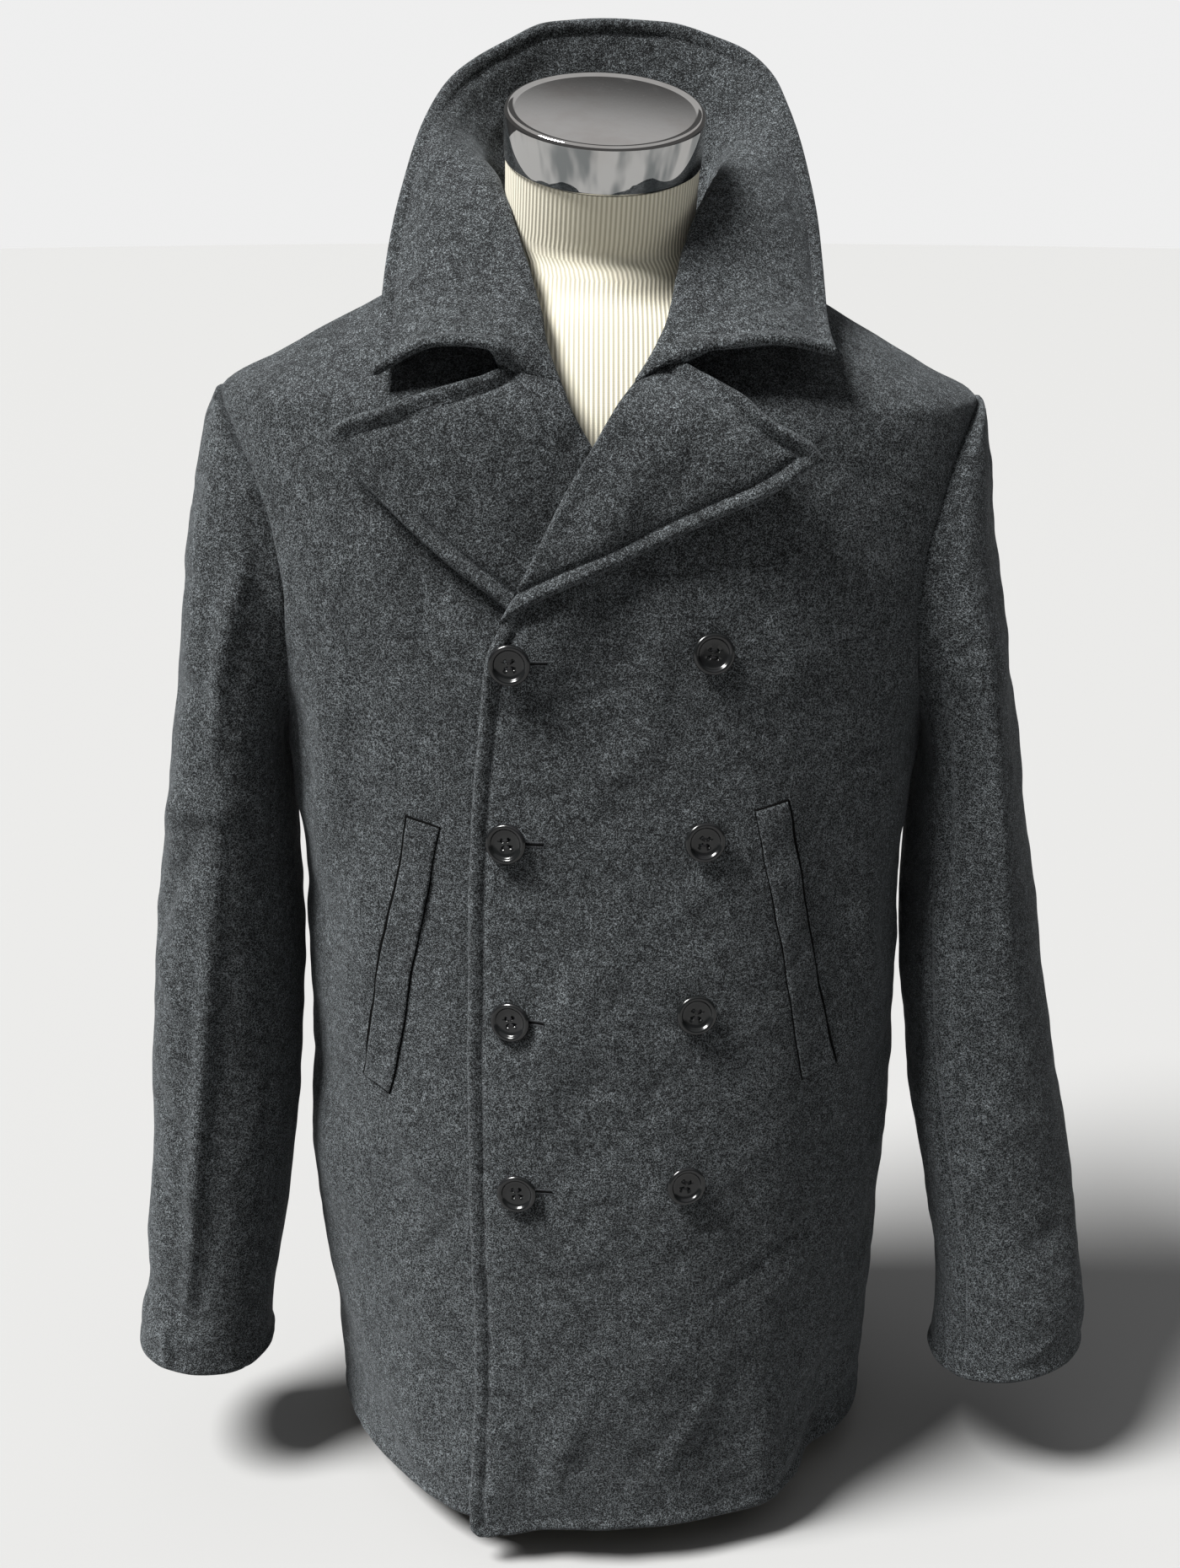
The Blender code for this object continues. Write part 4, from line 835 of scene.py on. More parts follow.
def cast(bm: bmesh.types.BMesh, name: str, finish: bpy.types.Material,
         crease: float = 180.0, weld: float = 0.0) -> bpy.types.Object:
    """Turns a bmesh into a linked, smooth, outward-facing object.

    Args:
        bm: The mesh, freed here.
        name: Object name.
        finish: Material.
        crease: Angle in degrees above which edges stay sharp.
        weld: Distance within which doubles are merged.

    Returns:
        The object.
    """
    if weld > 0:
        bmesh.ops.remove_doubles(bm, verts=bm.verts[:], dist=weld)
    bmesh.ops.recalc_face_normals(bm, faces=bm.faces[:])
    if bm.calc_volume(signed=True) < 0:
        bmesh.ops.reverse_faces(bm, faces=bm.faces[:])
    mesh = bpy.data.meshes.new(name)
    bm.to_mesh(mesh)
    bm.free()
    mesh.shade_smooth()
    if crease < 180.0:
        mesh.set_sharp_from_angle(angle=math.radians(crease))
    mesh.materials.append(finish)
    return linked(name, mesh)


@dataclass(frozen=True)
class Needle:
    """Lockstitch with a wool-coloured thread."""

    pitch: float = 0.0034
    length: float = 0.0024
    radius: float = 0.00030
    sink: float = 0.00005
    margin: float = 0.0015
    batch: int = 10

    def sew(self, name: str, paths: Sequence[tuple[Array, Array]],
            finish: bpy.types.Material) -> bpy.types.Object:
        """Rows of short stitches lying in their groove.

        Args:
            name: Object name.
            paths: Points and normals of each row of stitches.
            finish: Thread material.

        Returns:
            One joined object.
        """
        found: list[tuple[Array, Array]] = []
        for pts, nrm in paths:
            run = run_of(pts)
            for at in np.arange(self.margin, run[-1] - self.margin, self.pitch):
                n = unit(read(at, run, nrm))
                a, b = (read(at + k * self.length / 2, run, pts) for k in (-1, 1))
                found.append((a - n * self.sink, b - n * self.sink))
        return cast(self.row(found), name, finish)

    def row(self, ends: Sequence[tuple[Array, Array]]) -> bmesh.types.BMesh:
        """One mesh of many stitches, worked a few at a time for speed.

        Args:
            ends: Both ends of each stitch.

        Returns:
            The stitches.
        """
        whole = bmesh.new()
        for k in range(0, len(ends), self.batch):
            few = bmesh.new()
            for a, b in ends[k:k + self.batch]:
                self.stitch(few, a, b)
            mesh = bpy.data.meshes.new("few_stitches")
            few.to_mesh(mesh)
            few.free()
            whole.from_mesh(mesh)
            bpy.data.meshes.remove(mesh)
        return whole

    def stitch(self, bm: bmesh.types.BMesh, a: Array, b: Array) -> None:
        """One plump stitch from a to b."""
        way = Vector(b - a)
        turn = Vector((0, 0, 1)).rotation_difference(way).to_matrix().to_4x4()
        place = Matrix.Translation(Vector((a + b) / 2)) @ turn @ Matrix.Diagonal(
            (self.radius, self.radius, way.length / 2, 1.0))
        bmesh.ops.create_uvsphere(bm, u_segments=6, v_segments=4, radius=1.0, matrix=place)


# ------------------------------------------------------------------- finishes
def maths(kind: str, swapped: bool = False) -> Callable[..., "Tone"]:
    """A method that adds a Math node, with its operands swapped if asked."""
    def method(self: "Tone", other: Any = None) -> "Tone":
        """The Math node's result."""
        pair = (self,) if other is None else (other, self) if swapped else (self, other)
        return self.bench.add("ShaderNodeMath", {"operation": kind}, dict(enumerate(pair)))
    return method


@dataclass(frozen=True)
class Tone:
    """A shader value, an output socket of a bench, that can be used in Python sums."""

    bench: "Bench"
    socket: bpy.types.NodeSocket

    __add__, __radd__ = maths("ADD"), maths("ADD", True)
    __sub__, __rsub__ = maths("SUBTRACT"), maths("SUBTRACT", True)
    __mul__, __rmul__ = maths("MULTIPLY"), maths("MULTIPLY", True)
    __truediv__, __abs__, wave = maths("DIVIDE"), maths("ABSOLUTE"), maths("SINE")

    def span(self, low: float, high: float) -> "Tone":
        """0 below low, 1 above high, smooth between."""
        return self.bench.add("ShaderNodeMapRange", {"interpolation_type": "SMOOTHSTEP"},
                              {0: self, 1: low, 2: high, 3: 0.0, 4: 1.0})


class Bench:
    """The nodes of one material."""

    def __init__(self, name: str) -> None:
        """Starts a material with a Principled shader."""
        self.material = bpy.data.materials.new(name)
        self.material.use_nodes = True
        self.nodes = self.material.node_tree.nodes
        self.links = self.material.node_tree.links
        self.shader = self.nodes["Principled BSDF"]

    def add(self, kind: str, settings: dict[str, Any], values: dict[Any, Any],
            out: Any = 0) -> Tone:
        """Adds a node.

        Args:
            kind: Node type.
            settings: Properties set before its sockets.
            values: Values or links by input socket.
            out: Output socket to return.

        Returns:
            That output as a Tone.
        """
        node = self.nodes.new(kind)
        for key, value in settings.items():
            setattr(node, key, value)
        for key, value in values.items():
            self.feed(node.inputs[key], value)
        return Tone(self, node.outputs[out])

    def feed(self, socket: bpy.types.NodeSocket, value: Any) -> None:
        """Sets a socket from a number, a colour or a Tone."""
        if isinstance(value, Tone):
            self.links.new(value.socket, socket)
        elif isinstance(value, tuple) and socket.type == "RGBA" and len(value) == 3:
            socket.default_value = (*value, 1.0)
        else:
            socket.default_value = value

    def set(self, **values: Any) -> None:
        """Feeds the shader's sockets, named with underscores."""
        for key, value in values.items():
            self.feed(self.shader.inputs[key.replace("_", " ")], value)

    def place(self) -> Tone:
        """The piece's own coordinates, in metres."""
        return self.add("ShaderNodeTexCoord", {}, {}, out="Object")

    def flat(self) -> Tone:
        """Coordinates of the flat cut, in metres."""
        return self.add("ShaderNodeUVMap", {"uv_map": "cut"}, {}, out="UV")

    def turned(self, where: Tone, angles: Triple,
               scale: Triple) -> Tone:
        """Coordinates turned and stretched."""
        return self.add("ShaderNodeMapping", {"vector_type": "POINT"},
                        {"Vector": where, "Rotation": angles, "Scale": scale})

    def noise(self, where: Tone, scale: float, detail: float = 2.0, rough: float = 0.5) -> Tone:
        """Plain noise value."""
        return self.add("ShaderNodeTexNoise", {}, {"Vector": where, "Scale": scale,
                                                   "Detail": detail, "Roughness": rough})

    def strands(self, where: Tone, scale: float, width: float) -> Tone:
        """Thin curling lines, 1 along their middle."""
        return (1 - abs(self.noise(where, scale, 1.0) - 0.5) / width).span(0.0, 0.9)

    def blend(self, share: Any, a: Any, b: Any) -> Tone:
        """Colour a turning into b."""
        return self.add("ShaderNodeMix", {"data_type": "RGBA"}, {0: share, 6: a, 7: b}, out=2)

    def bump(self, height: Tone, distance: float, strength: float,
             under: Union[Tone, None] = None) -> Tone:
        """Relief from a height, over an earlier relief if there is one."""
        values = {"Height": height, "Distance": distance, "Strength": strength}
        if under is not None:
            values["Normal"] = under
        return self.add("ShaderNodeBump", {}, values, out="Normal")


@dataclass(frozen=True)
class MeltonFinish:
    """Milled wool in a salt-and-pepper mix of near-black and grey-blue fibres."""

    name: str = "wool_melton_charcoal"
    ground: Triple = (0.0040, 0.0045, 0.0049)
    middle: Triple = (0.0110, 0.0122, 0.0130)
    light: Triple = (0.2380, 0.2630, 0.2790)
    curl: float = 580.0
    width: float = 0.066

    def dye(self) -> bpy.types.Material:
        """Builds the material."""
        b = Bench(self.name)
        here = b.place()
        turned = b.turned(here, (0.7, -0.4, 1.1), (1.0, 1.0, 1.0))
        first = b.strands(here, self.curl, self.width)
        second = b.strands(turned, self.curl * 1.22, self.width)
        choose = b.noise(turned, self.curl * 1.9, 0.0).span(0.40, 0.60)
        fibres = first * choose + second * (1 - choose)
        nap = b.noise(here, 170.0, 2.0, 0.6)
        cloud = b.noise(here, 30.0, 1.0)
        base = b.blend(nap.span(0.32, 0.68), self.ground, self.middle)
        colour = b.blend(fibres * (nap * 1.1 - 0.02) * (0.82 + cloud * 0.36), base, self.light)
        relief = b.bump(fibres * 0.6 + nap, 0.0010, 0.8)
        b.set(Base_Color=colour, Roughness=0.95 - fibres * 0.12, Normal=relief)
        b.set(Sheen_Weight=0.10, Sheen_Roughness=0.40, Sheen_Tint=(0.72, 0.78, 0.84),
              Specular_IOR_Level=0.20)
        return b.material


@dataclass(frozen=True)
class ThreadFinish:
    """Sewing thread dyed with the cloth."""

    name: str = "sewing_thread_charcoal"
    colour: Triple = (0.030, 0.032, 0.035)
    shine: float = 0.4

    def dye(self) -> bpy.types.Material:
        """Builds the material."""
        b = Bench(self.name)
        twist = b.noise(b.place(), 1500.0, 2.0)
        b.set(Base_Color=b.blend(twist, self.colour, tuple(c * 2.4 for c in self.colour)),
              Roughness=0.75, Normal=b.bump(twist, 0.0002, 0.5))
        b.set(Specular_IOR_Level=self.shine)
        return b.material


@dataclass(frozen=True)
class ButtonFinish:
    """Polished black resin with faint turning marks."""

    name: str = "button_black_gloss"
    colour: Triple = (0.0050, 0.0056, 0.0058)

    def dye(self) -> bpy.types.Material:
        """Builds the material."""
        b = Bench(self.name)
        here = b.place()
        wear = b.noise(here, 420.0, 4.0, 0.6)
        haze = b.noise(here, 60.0, 2.0)
        b.set(Base_Color=b.blend(haze.span(0.4, 0.8), self.colour, (0.010, 0.010, 0.011)),
              Roughness=0.15 + wear * 0.08, Specular_IOR_Level=0.42,
              Normal=b.bump(wear, 0.0001, 0.12))
        return b.material


@dataclass(frozen=True)
class JerseyFinish:
    """Cream rib jersey pulled smooth over the form, its rib valleys darkened as painted shade."""

    name: str = "form_jersey_cream"
    # high is the rib crests' colour; low is the darker colour of the rib valleys, which is painted
    # shade.
    high: Triple = (0.62, 0.59, 0.485)
    low: Triple = (0.38, 0.355, 0.275)
    rib: float = 0.0029
    course: float = 0.0013

    def dye(self) -> bpy.types.Material:
        """Builds the material."""
        b = Bench(self.name)
        flat = b.flat()
        split = b.add("ShaderNodeSeparateXYZ", {}, {0: flat}, out="X")
        rise = b.add("ShaderNodeSeparateXYZ", {}, {0: flat}, out="Y")
        ribs = (split * (2 * math.pi / self.rib)).wave() * 0.5 + 0.5
        rows = (rise * (2 * math.pi / self.course)).wave() * 0.5 + 0.5
        dirt = b.noise(b.place(), 38.0, 4.0, 0.6)
        lint = b.noise(b.place(), 700.0, 2.0)
        # Colour runs from low in the rib valleys to high on the crests: painted shade in the
        # valleys, on top of the ribs' own bump.
        tone = b.blend(ribs.span(0.05, 0.75), self.low, self.high)
        tone = b.blend(dirt.span(0.45, 0.85) * 0.35, tone, (0.50, 0.46, 0.37))
        relief = b.bump(ribs, 0.0006, 0.7)
        relief = b.bump(rows * 0.2 + lint * 0.5, 0.0002, 0.4, relief)
        b.set(Base_Color=tone, Roughness=0.88, Normal=relief)
        b.set(Sheen_Weight=0.15, Sheen_Roughness=0.5, Specular_IOR_Level=0.3)
        return b.material


@dataclass(frozen=True)
class CapFinish:
    """Plated steel with fine wiping scratches, and dark vertical streaks on its band that are
    painted reflections.
    """

    name: str = "neck_cap_chrome"
    colour: Triple = (0.66, 0.645, 0.63)
    axis: Triple = (0.0436, -0.3580, 0.9327)
    band_top: float = 0.8580

    def dye(self) -> bpy.types.Material:
        """Builds the material."""
        b = Bench(self.name)
        here = b.place()
        grain = b.noise(b.turned(here, (0.3, 0.1, 0.5), (1.0, 0.04, 1.0)), 900.0, 3.0, 0.6)
        spots = b.noise(here, 160.0, 5.0, 0.7)
        film = b.noise(here, 24.0, 3.0, 0.6)
        # Dark vertical streaks on the side band: painted reflections of dark surroundings,
        # darkening the whole band.
        upright = b.turned(here, (0.0, 0.0, 0.0), (1.0, 1.0, 0.05))
        painted_reflections = b.noise(upright, 75.0, 2.0).span(0.44, 0.66)
        height = b.add("ShaderNodeVectorMath", {"operation": "DOT_PRODUCT"},
                       {0: here, 1: self.axis}, out="Value")
        on_band = 1 - height.span(self.band_top - 0.0004, self.band_top)
        painted_reflections = (painted_reflections * 0.45 + 0.38) * on_band
        clean = b.blend(film.span(0.45, 0.8) * 0.5, self.colour, (0.50, 0.44, 0.41))
        # The band's colour is pulled towards near-black by the streaks: painted reflections.
        b.set(Base_Color=b.blend(painted_reflections, clean, (0.10, 0.115, 0.12)),
              Metallic=1.0, Roughness=0.012 + grain * 0.02 + spots.span(0.55, 0.75) * 0.05,
              Normal=b.bump(grain, 0.00002, 0.08))
        return b.material


@dataclass(frozen=True)
class FloorFinish:
    """Pale studio sweep."""

    name: str = "studio_sweep"
    colour: Triple = (0.275, 0.275, 0.275)

    def dye(self) -> bpy.types.Material:
        """Builds the material."""
        b = Bench(self.name)
        b.set(Base_Color=self.colour, Roughness=0.9)
        return b.material


@dataclass
class Wardrobe:
    """Every finish, made once."""

    melton: bpy.types.Material
    thread: bpy.types.Material
    button: bpy.types.Material
    jersey: bpy.types.Material
    cap: bpy.types.Material
    # Near-black sheet material laid round the welts and in the buttonhole slits: painted shade.
    painted_shade: bpy.types.Material
    dark_thread: bpy.types.Material

    @classmethod
    def stocked(cls) -> "Wardrobe":
        """Dyes each finish."""
        return cls(MeltonFinish().dye(), ThreadFinish().dye(), ButtonFinish().dye(),
                   JerseyFinish().dye(), CapFinish().dye(),
                   # near-black sheet material: painted shade for the welt outlines and the
                   # buttonhole slits
                   ThreadFinish("painted_shade_black", (0.0015, 0.0015, 0.0015), 0.02).dye(),
                   ThreadFinish("button_thread_black", (0.008, 0.008, 0.009), 0.2).dye())


@dataclass(frozen=True)
class Cut:
    """Flat size of a piece of cloth before it was sewn."""

    width: float
    length: float
    area: float
    held: str = "draped"
    rests_on: tuple[str, ...] = ("form_torso",)

    def on(self, side: Side, *panels: str) -> "Cut":
        """The same cut, resting on panels of one side."""
        return replace(self, rests_on=tuple("%s_%s" % (p, side.word) for p in panels))


def hand_over(obj: bpy.types.Object, nodes: Sequence[str] = (),
              cut: Union[Cut, None] = None) -> None:
    """Registers a piece with the frame.

    Args:
        obj: The piece.
        nodes: Solids that it stands for.
        cut: Its flat size, for cloth. Not used.
    """
    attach(obj, "root")
    if nodes:
        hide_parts(*nodes)
    LOG.info("%s: %d faces", obj.name, len(obj.data.polygons))


def sew(name: str, paths: Sequence[tuple[Array, Array]], wardrobe: Wardrobe,
        needle: Needle = Needle()) -> None:
    """Works rows of stitches and registers them with the frame."""
    hand_over(needle.sew(name, paths, wardrobe.thread))


# -------------------------------------------------------------------- panels
ARM_STEP = 2.5          # degrees of the armhole's arc between rows
SHOULDER_ROWS = 34


def panel_heights(pace: float = 0.0034) -> Array:
    """Row heights of the body panels, closer at the hem and round the armhole."""
    low = [SIZE.hem_z + s for s in LADDER]
    arm_low = SIZE.armhole_mid_z - SIZE.armhole_half
    low += list(np.linspace(low[-1], arm_low, int((arm_low - low[-1]) / pace))[1:-1])
    arm = [SIZE.armhole_mid_z - SIZE.armhole_half * math.cos(math.radians(a))
           for a in np.arange(0.0, 180.01, ARM_STEP)]
    top = list(np.linspace(SIZE.shoulder_z, SIZE.neck_side_z, SHOULDER_ROWS)[1:])
    return np.array(low + arm + top)


def even_turns(start: Array, end: Array, z: Array, share: Callable[[Array], Array]) -> Array:
    """Angles from start to end at shares of the cloth's own length.

    Args:
        start: First angle of each row.
        end: Last angle of each row.
        z: Row heights.
        share: Gives rows x columns of shares from the rows' widths.

    Returns:
        Rows x columns of angles.
    """
    t = np.linspace(0.0, 1.0, 49)
    turns = start[:, None] + (end - start)[:, None] * t[None, :]
    run = run_of(DRAPE.point(turns, z[:, None]), axis=1)
    width = run[:, -1]
    s = share(width) * width[:, None]
    return np.stack([np.interp(s[i], run[i], turns[i]) for i in range(len(z))])


@dataclass
class FrontPanel:
    """One front: finished edge and hem, roll line, neck, shoulder, armhole and side."""

    side: Side
    cut: Cut = Cut(0.36, 0.84, 0.270)
    pace: float = 0.0034
    drop: float = 0.007
    rows_past_break: int = 7

    def shape(self) -> ClothPiece:
        """Works out the panel's grid."""
        z = panel_heights(self.pace)
        start = DRAPE.turn_at(DRAPE.roll_x(self.side, z), z)
        end = DRAPE.side_turn(z, 1) * self.side.value
        turn = even_turns(start, end, z, lambda w: shares(w, LADDER, SEAM_LADDER, self.pace))
        zz = np.broadcast_to(z[:, None], turn.shape).copy()
        x = DRAPE.point(turn, zz)[..., 0]
        lift = np.zeros_like(x)
        if self.side is Side.LEFT:
            near_edge, near_hem = 1 - ease((x + 0.08) / 0.06), 1 - ease((zz - SIZE.hem_z) / 0.12)
            zz -= self.drop * near_edge * near_hem
            lift = DRAPE.left_lift(x, zz)
        n = DRAPE.normal(turn, zz)
        mid = DRAPE.point(turn, zz) + (lift - SIZE.wall / 2)[..., None] * n
        stop = int(np.searchsorted(z, SIZE.break_z))
        gorge = int(np.searchsorted(z, SIZE.gorge_z))
        borders = [Border(mid[:stop + self.rows_past_break, 0], Kind.TURNED),
                   Border(mid[0], Kind.HEMMED), Border(mid[stop:gorge + 1, 0], Kind.ROLLED),
                   Border(mid[:, -1], Kind.SEAMED), Border(mid[gorge:, 0], Kind.SEAMED)]
        return ClothPiece("front_%s_cloth" % self.side.word, mid, n, SIZE.wall, borders, SMOOTH)

    def build(self, wardrobe: Wardrobe) -> None:
        """Makes the panel and, on the overlapping front, its edge stitching."""
        piece = self.shape()
        hand_over(piece.make(wardrobe.melton), ["front_%s" % self.side.word], cut=self.cut)
        if self.side is Side.LEFT:
            points, normals = piece.seam_path(Kind.TURNED, SIZE.stitch_in)
            keep = points[:, 2] < SIZE.break_z - 0.004
            sew("front_edge_stitching", [(points[keep], normals[keep])], wardrobe)


@dataclass
class BackPanel:
    """Half of the back: centre seam, neck, shoulder, armhole, side and hem."""

    side: Side
    cut: Cut = Cut(0.30, 0.82, 0.208)
    pace: float = 0.0036

    @staticmethod
    def neck_x(z: Array) -> Array:
        """Half width of the back neck at a height."""
        c = np.clip((SIZE.neck_side_z - z) / (SIZE.neck_side_z - SIZE.nape_z), 0.0, 1.0)
        return np.where(z <= SIZE.nape_z, 0.0, SIZE.neck_side_x * np.sqrt(1 - c * c))

    def shape(self) -> ClothPiece:
        """Works out the panel's grid."""
        z = panel_heights(self.pace)
        start = DRAPE.turn_at(np.maximum(self.neck_x(z), 1e-5), z, -1) * self.side.value
        end = DRAPE.side_turn(z, -1) * self.side.value
        turn = even_turns(start, end, z, lambda w: shares(w, SEAM_LADDER, SEAM_LADDER, self.pace))
        zz = np.broadcast_to(z[:, None], turn.shape)
        n = DRAPE.normal(turn, zz)
        mid = DRAPE.point(turn, zz) - SIZE.wall / 2 * n
        borders = [Border(mid[0], Kind.HEMMED), Border(mid[:, 0], Kind.SEAMED),
                   Border(mid[:, -1], Kind.SEAMED)]
        return ClothPiece("back_%s_cloth" % self.side.word, mid, n, SIZE.wall, borders, SMOOTH)

    def build(self, wardrobe: Wardrobe) -> None:
        """Makes the panel."""
        obj = self.shape().make(wardrobe.melton)
        hand_over(obj, ["back_%s" % self.side.word], cut=self.cut)


# ------------------------------------------------------------------- sleeves
@dataclass
class Sleeve:
    """Two-piece sleeve, from the armhole seam to the turned cuff."""

    side: Side
    upper_cut: Cut = Cut(0.30, 0.66, 0.145)
    under_cut: Cut = Cut(0.15, 0.60, 0.060)
    front_seam: float = 135.0
    back_seam: float = 255.0
    roping: float = 0.0003
    tuck: float = 0.0015
    power: float = 2.15
    length: float = 0.62
    per_degree: float = 0.0012
    step: float = 2.5
    pace: float = 0.0036

    def __post_init__(self) -> None:
        """Reads this sleeve's tables."""
        left = self.side is Side.LEFT
        rows = SLEEVE_LEFT_ROWS if left else SLEEVE_RIGHT_ROWS
        self.rings = tracks(SLEEVE_NAMES, [(i, *r) for i, r in enumerate(rows)])
        self.last = len(rows) - 1
        self.folds = SLEEVE_LEFT_FOLDS if left else SLEEVE_RIGHT_FOLDS
        self.creases = SLEEVE_LEFT_CREASES if left else SLEEVE_RIGHT_CREASES

    def ring(self, along: Array, angle: Array) -> Array:
        """Points of the outer face below the armhole."""
        along, angle = np.broadcast_arrays(np.asarray(along, float), np.asarray(angle, float))
        a = np.radians(angle)
        ca, sa = np.cos(a), np.sin(a)
        r = {k: t(along * self.last) for k, t in self.rings.items()}
        e = 2 / self.power
        u, v = np.sign(ca) * np.abs(ca) ** e, np.sign(sa) * np.abs(sa) ** e
        x, z = (0.5 * (r["out" + k] + r["in" + k]) + 0.5 * (r["out" + k] - r["in" + k]) * u
                for k in ("_x", "_z"))
        x = x - r["bow"] * sa * sa
        sign = self.side.value
        p = np.stack((sign * x, r["mid_y"] - r["half_y"] * v, z), -1)
        lift = np.zeros_like(x)
        for at, mid, spread, fan, height in self.folds:
            d = (angle - mid + 180) % 360 - 180
            lift += height * np.exp(-((along - at) / spread) ** 2 - (d / fan) ** 2)
        return p + lift[..., None] * unit(np.stack((sign * ca, -sa, np.zeros_like(ca)), -1))

    def armhole(self, angle: Array) -> tuple[Array, Array]:
        """Turns round the body and heights along the armhole seam."""
        a = np.radians(angle)
        z = SIZE.armhole_mid_z + SIZE.armhole_half * np.cos(a)
        turn = np.where(np.sin(a) >= 0, DRAPE.armhole_turn(z, 1), DRAPE.armhole_turn(z, -1))
        return self.side.value * turn, z

    def crease_height(self, along: Array, angle: Array) -> Array:
        """Height of the sleeve's creases."""
        total = np.zeros_like(along)
        gather = BENT_GATHER if self.side is Side.RIGHT else GATHER
        for s0, a0, s1, a1, width, height, tip in self.creases:
            x = (along - s0) * self.length
            y = ((angle - a0 + 180) % 360 - 180) * self.per_degree
            dx, dy = (s1 - s0) * self.length, (a1 - a0) * self.per_degree
            size = math.hypot(dx, dy)
            t = np.clip((x * dx + y * dy) / size ** 2, 0, 1)
            far = np.hypot(x - t * dx, y - t * dy)
            across = np.clip((x * dy - y * dx) / size / width, -2, 2)
            near = np.sin(math.pi * t) ** 0.8 * np.exp(-(far / width) ** 2)
            total += near * (height + TIP * tip * across) * gather
        return total

    def shape(self, under: bool) -> ClothPiece:
        """Works out the grid of the upper or the under sleeve."""
        first = self.front_seam if under else self.back_seam - 360
        final = self.back_seam if under else self.front_seam
        angles = np.arange(first, final + 0.01, self.step)
        stations = np.concatenate((np.linspace(0.0, 0.24, 9), np.linspace(0.27, 1.0, 25)))
        seam = self.armhole(angles)
        control = np.concatenate((DRAPE.point(*seam)[None],
                                  self.ring(stations[:, None], angles[None, :])))
        gaps = np.linalg.norm(np.diff(control, axis=0), axis=2)
        t = shares(gaps.sum(0), SLEEVE_LADDER, LADDER, self.pace).T
        outer = np.stack([curve(control[:, j], t[:, j]) for j in range(len(angles))], axis=1)
        run = run_of(control)
        marks = np.concatenate(([-0.01], stations))
        along = np.stack([np.interp(t[:, j], run[:, j] / run[-1, j], marks)
                          for j in range(len(angles))], axis=1)
        n = unit(np.cross(np.gradient(outer, axis=1), np.gradient(outer, axis=0)))
        half = len(n) // 2
        if n[half, 0] @ (outer[half, 0] - outer[half].mean(0)) < 0:
            n = -n
        far = t * gaps.sum(0)[None, :]
        lift = self.crease_height(along, np.broadcast_to(angles[None, :], along.shape))
        head = np.clip(np.cos(np.radians(angles - 20.0)), 0, 1)[None, :]
        ease_in = self.roping * np.exp(-((far - 0.005) / 0.004) ** 2) * head
        tuck = -self.tuck * np.exp(-(far / 0.0011) ** 1.5)
        rise = lift * ease(far / 0.03) + ease_in - SIZE.sleeve_wall / 2
        mid = outer + rise[..., None] * n + tuck[..., None] * DRAPE.normal(*seam)[None]
        borders = [Border(mid[-1], Kind.HEMMED),
                   Border(mid[:, 0], Kind.SEAMED), Border(mid[:, -1], Kind.SEAMED)]
        rumple = Rumple(31 + under + 2 * (self.side is Side.LEFT))
        return ClothPiece(self.node(under) + "_cloth", mid, n, SIZE.sleeve_wall, borders, rumple)

    def node(self, under: bool) -> str:
        """Name of the upper or the under sleeve's solid."""
        return "sleeve_%s_%s" % (self.side.word, "under" if under else "upper")

    def build(self, wardrobe: Wardrobe) -> None:
        """Makes both parts of the sleeve."""
        for under, cut in ((False, self.upper_cut), (True, self.under_cut)):
            obj = self.shape(under).make(wardrobe.melton)
            hand_over(obj, [self.node(under)], cut=cut.on(self.side, "front", "back"))


